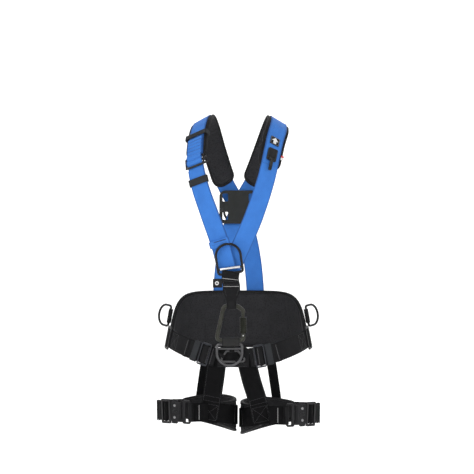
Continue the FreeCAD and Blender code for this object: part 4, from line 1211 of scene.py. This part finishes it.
def leg_parts():
    for side in (RIGHT, LEFT):
        name = SIDE[side]
        r = riser[side]
        lead = Strap(r, 0, r.length)
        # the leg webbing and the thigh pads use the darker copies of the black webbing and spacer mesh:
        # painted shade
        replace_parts(lead.build(name + "_leg_riser_webbing", "shaded_black"), name + "_leg_riser")
        sewing, pale = Thread(), Thread()
        sewing.box(top_of(lead), r.length - 62, r.length - 50, -19, 19, cross=False)
        sewing.box(top_of(lead), r.length - 42, r.length - 6, -18, 18)
        sewing.seam(top_of(lead), (10, -20), (r.length - 8, -20))
        sewing.seam(top_of(lead), (10, 20), (r.length - 8, 20))
        t = tongue_route[side]
        link = Strap(t, 3, t.length, width=WEB - 1)
        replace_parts(link.build(name + "_tongue_webbing", "shaded_black"), name + "_tongue_strap")
        tack_s = t.nearest(lambda p: abs(abs(p.x) - 93))
        pale.tack(top_of(link), tack_s, -17.5, 17.5, 0.9)
        place = thigh_front[side].stand(thigh_at(thigh_front, side, HOUSING_TURN), BUCKLE_LIFT)
        lug = (place @ Matrix.Translation((-36.2, 0, PLATE_T + CAVITY / 2))
               @ Matrix.Rotation(math.pi / 2, 4, "Z"))
        fold_band(name + "_tongue_fold", 2.0, WEB - 1, 7, lug, slack=0.4)
        b = thigh_back[side]
        slide = thigh_at(thigh_back, side, SLIDE_TURN)
        base = Strap(b, 0, b.length, bars=[(slide, CLIMB, BAR_HALF)])
        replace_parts(base.build(name + "_thigh_webbing", "shaded_black"), name + "_thigh_strap")
        doubled_tail(name + "_thigh", b, thigh_at(thigh_back, side, 98), slide - 19, "shaded_black", sewing)
        for f in (0.12, 0.3, 0.48):
            sewing.tack(top_of(base), b.length * f, -18, 18)
        sewing.build(name + "_leg_sewing")
        pale.build(name + "_leg_tack", "thread_grey")
        keeper_band(name + "_leg_keeper", b, thigh_at(thigh_back, side, 80), 12, 0, 2 * WEB_T + GAP,
                    "leg_keepers" if side == RIGHT else None)
        q = rear_leg[side]
        rear = Strap(q, 0, q.length, width=25).build(name + "_rear_leg_webbing", "shaded_black")
        if side == RIGHT:
            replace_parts(rear, "rear_leg_straps")
        p = thigh_pad_route[side]
        length = p.length

        def width(s, length=length):
            f = min(max(min(s, length - s), 0.0) / 14.0, 1.0)
            ends = (1 - (1 - f) ** END_POWER) ** (1 / END_POWER)
            return (46.0 + 38.0 * math.sin(math.pi * min(max(s / length, 0), 1))) * max(ends, 0.02)
        strip_pad(name + "_thigh_cushion", p, 0, length, width, PAD_T, 0.0, name + "_thigh_pad",
                  "shaded_mesh", (3.2, 4.3), 1.4)
        housing_trim(side, place)
        thumb_ribs(side, place)


def housing_trim(side, place):
    """Raised ribs on the front plate of a leg buckle."""
    z = 2 * PLATE_T + CAVITY
    ribs = [(x, x + 1.6, -19, 19) for x in (-13, -9.6, 11.8)]
    ribs += [(-4, 9, y, y + 1.6) for y in (-4.5, -0.8, 2.9)]
    for k, (x0, x1, y0, y1) in enumerate(ribs):
        outline = [(x0, y0), (x1, y0), (x1, y1), (x0, y1)]
        plate("%s_housing_rib_%d" % (SIDE[side], k), outline, z, z + 0.9, place,
              "black_metal", 0.2)


def thumb_ribs(side, place):
    """Grip ribs on the outer end of each release lever."""
    z0 = PLATE_T + 0.4
    for upper in (True, False):
        local_up = -1 if side == RIGHT else 1
        sign = 1 if (local_up == 1) == upper else -1
        body = "%s_%s_release" % (SIDE[side], "upper" if upper else "lower")
        verts, faces = [], []
        for x in (0.5, 3.5, 6.5, 9.5):
            base = len(verts)
            for y in (27.6, 28.9):
                for dx, z in ((-0.8, z0), (0.8, z0), (0.8, z0 + 3.2), (-0.8, z0 + 3.2)):
                    inset = 0.35 if y > 28 else 0
                    verts.append(place @ Vector((x + dx * (1 - inset), sign * y, z)))
            quads = [(0, 1, 2, 3), (4, 7, 6, 5), (0, 4, 5, 1), (1, 5, 6, 2), (2, 6, 7, 3), (3, 7, 4, 0)]
            faces += [tuple(base + k for k in (q if sign > 0 else q[::-1])) for q in quads]
        piece(body + "_ribs", verts, faces, "black_metal", body)


# ---- metal and plastic nodes from the CAD -------------------------------------------------
def hardware():
    finishes = {
        "steel_ring": ["ventral_d_ring"],
        "dark_steel": ["front_ring"],
        "black_ring": ["chest_d_ring", "dorsal_d_ring", "left_side_d_ring", "right_side_d_ring"],
        "alloy": ["carabiner_body", "carabiner_gate"],
        "sleeve": ["carabiner_lock_sleeve"],
        "bright": ["carabiner_gate_pin"],
        "rivet": ["buckle_rivets"],
        "plastic": ["dorsal_plate", "park_plate", "park_tab"],
        "black_metal": ["shoulder_adjuster"],
        "slate": [],
    }
    for side in ("left", "right"):
        finishes["slate"].append(side + "_belt_adjuster")
        finishes["black_metal"] += [side + "_" + part for part in (
            "side_adjuster", "leg_slide", "buckle_housing", "upper_lever", "lower_lever",
            "buckle_tongue")]
    thin = ("adjuster", "slide", "housing", "tongue", "plate", "lever", "tab")
    for look, nodes in finishes.items():
        for node in nodes:
            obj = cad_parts[node]
            if not obj.data.materials:
                obj.data.materials.append(LOOK[look])
            for place in obj.material_slots:
                place.material = LOOK[look]
            obj.data.polygons.foreach_set("use_smooth", [True] * len(obj.data.polygons))
            obj.data.set_sharp_from_angle(angle=math.radians(32))
            if node.endswith(thin):
                rim = obj.modifiers.new("Rim", "BEVEL")
                rim.width, rim.segments = 0.0004, 2
                rim.limit_method, rim.angle_limit = "ANGLE", math.radians(50)


# ---- studio ----------------------------------------------------------------------------------
def studio():
    scene = bpy.context.scene
    scene.view_settings.view_transform = "Standard"
    verts, faces = [], []
    # radius and height of the bowl-shaped floor, whose centre is added at the end
    profile = [(2.0, 0.0), (4.6, 0.0), (5.2, 0.06), (5.8, 0.3), (6.3, 0.8), (6.5, 1.6), (6.5, 6.0)]
    floor_z, spokes = -0.95, 48
    for radius, z in profile:
        verts += [(radius * c, radius * s, floor_z + z) for c, s in circle(spokes)]
    centre = len(verts)
    verts.append((0, 0, floor_z))
    for row in range(len(profile) - 1):
        for k in range(spokes):
            i = (k + 1) % spokes
            low, high = row * spokes, (row + 1) * spokes
            faces.append((low + k, low + i, high + i, high + k))
    faces += [(centre, (k + 1) % spokes, k) for k in range(spokes)]
    mesh = bpy.data.meshes.new("studio_floor")
    mesh.from_pydata(verts, [], faces)
    mesh.polygons.foreach_set("use_smooth", [True] * len(mesh.polygons))
    paper = Paint("paper", rough=0.9, Emission_Color=(1, 1, 1, 1), Emission_Strength=0.36)
    greys = paper.ramp(paper.noise(0.8), [(0, (0.86, 0.86, 0.86)), (1, (0.9, 0.9, 0.9))])
    mesh.materials.append(paper.finish(greys))
    floor = bpy.data.objects.new("studio_floor", mesh)
    scene.collection.objects.link(floor)
    world = bpy.data.worlds.new("studio")
    world.use_nodes = True
    world.node_tree.nodes["Background"].inputs["Color"].default_value = (1, 1, 1, 1)
    world.node_tree.nodes["Background"].inputs["Strength"].default_value = 0.7
    scene.world = world
    for name, place, size, power in (("key", (-1.7, -2.6, 2.1), 1.6, 34), ("fill", (2.1, -2.4, 0.7), 1.8, 14),
                                     ("back", (0.4, 2.8, 2.4), 1.8, 26)):
        data = bpy.data.lights.new(name, "AREA")
        data.size, data.energy = size, power
        lamp = bpy.data.objects.new(name, data)
        scene.collection.objects.link(lamp)
        lamp.location = place
        lamp.rotation_mode = "QUATERNION"
        lamp.rotation_quaternion = (Vector((0, 0, 0.15)) - Vector(place)).to_track_quat("-Z", "Y")


def camera():
    """Level view from the front at chest height."""
    view_width, distance, sensor = 1.114, 3.5, 36.0
    data = bpy.data.cameras.new("camera")
    data.sensor_width = sensor
    data.lens = sensor * distance / view_width
    data.clip_start, data.clip_end = 0.05, 40
    eye = bpy.data.objects.new("camera", data)
    bpy.context.scene.collection.objects.link(eye)
    eye.location = (-0.0035, -0.12 - distance, 0.2186)
    eye.rotation_euler = (math.radians(90), 0, 0)
    bpy.context.scene.camera = eye


camera()
studio()
hardware()
shoulder_parts()
shoulder_fittings()
adjuster_roller()
badge_parts()
connector()
ring_sleeve()
ventral_webbing()
gather_folds()
belt_cushion()
belt_parts()
side_loops()
leg_parts()
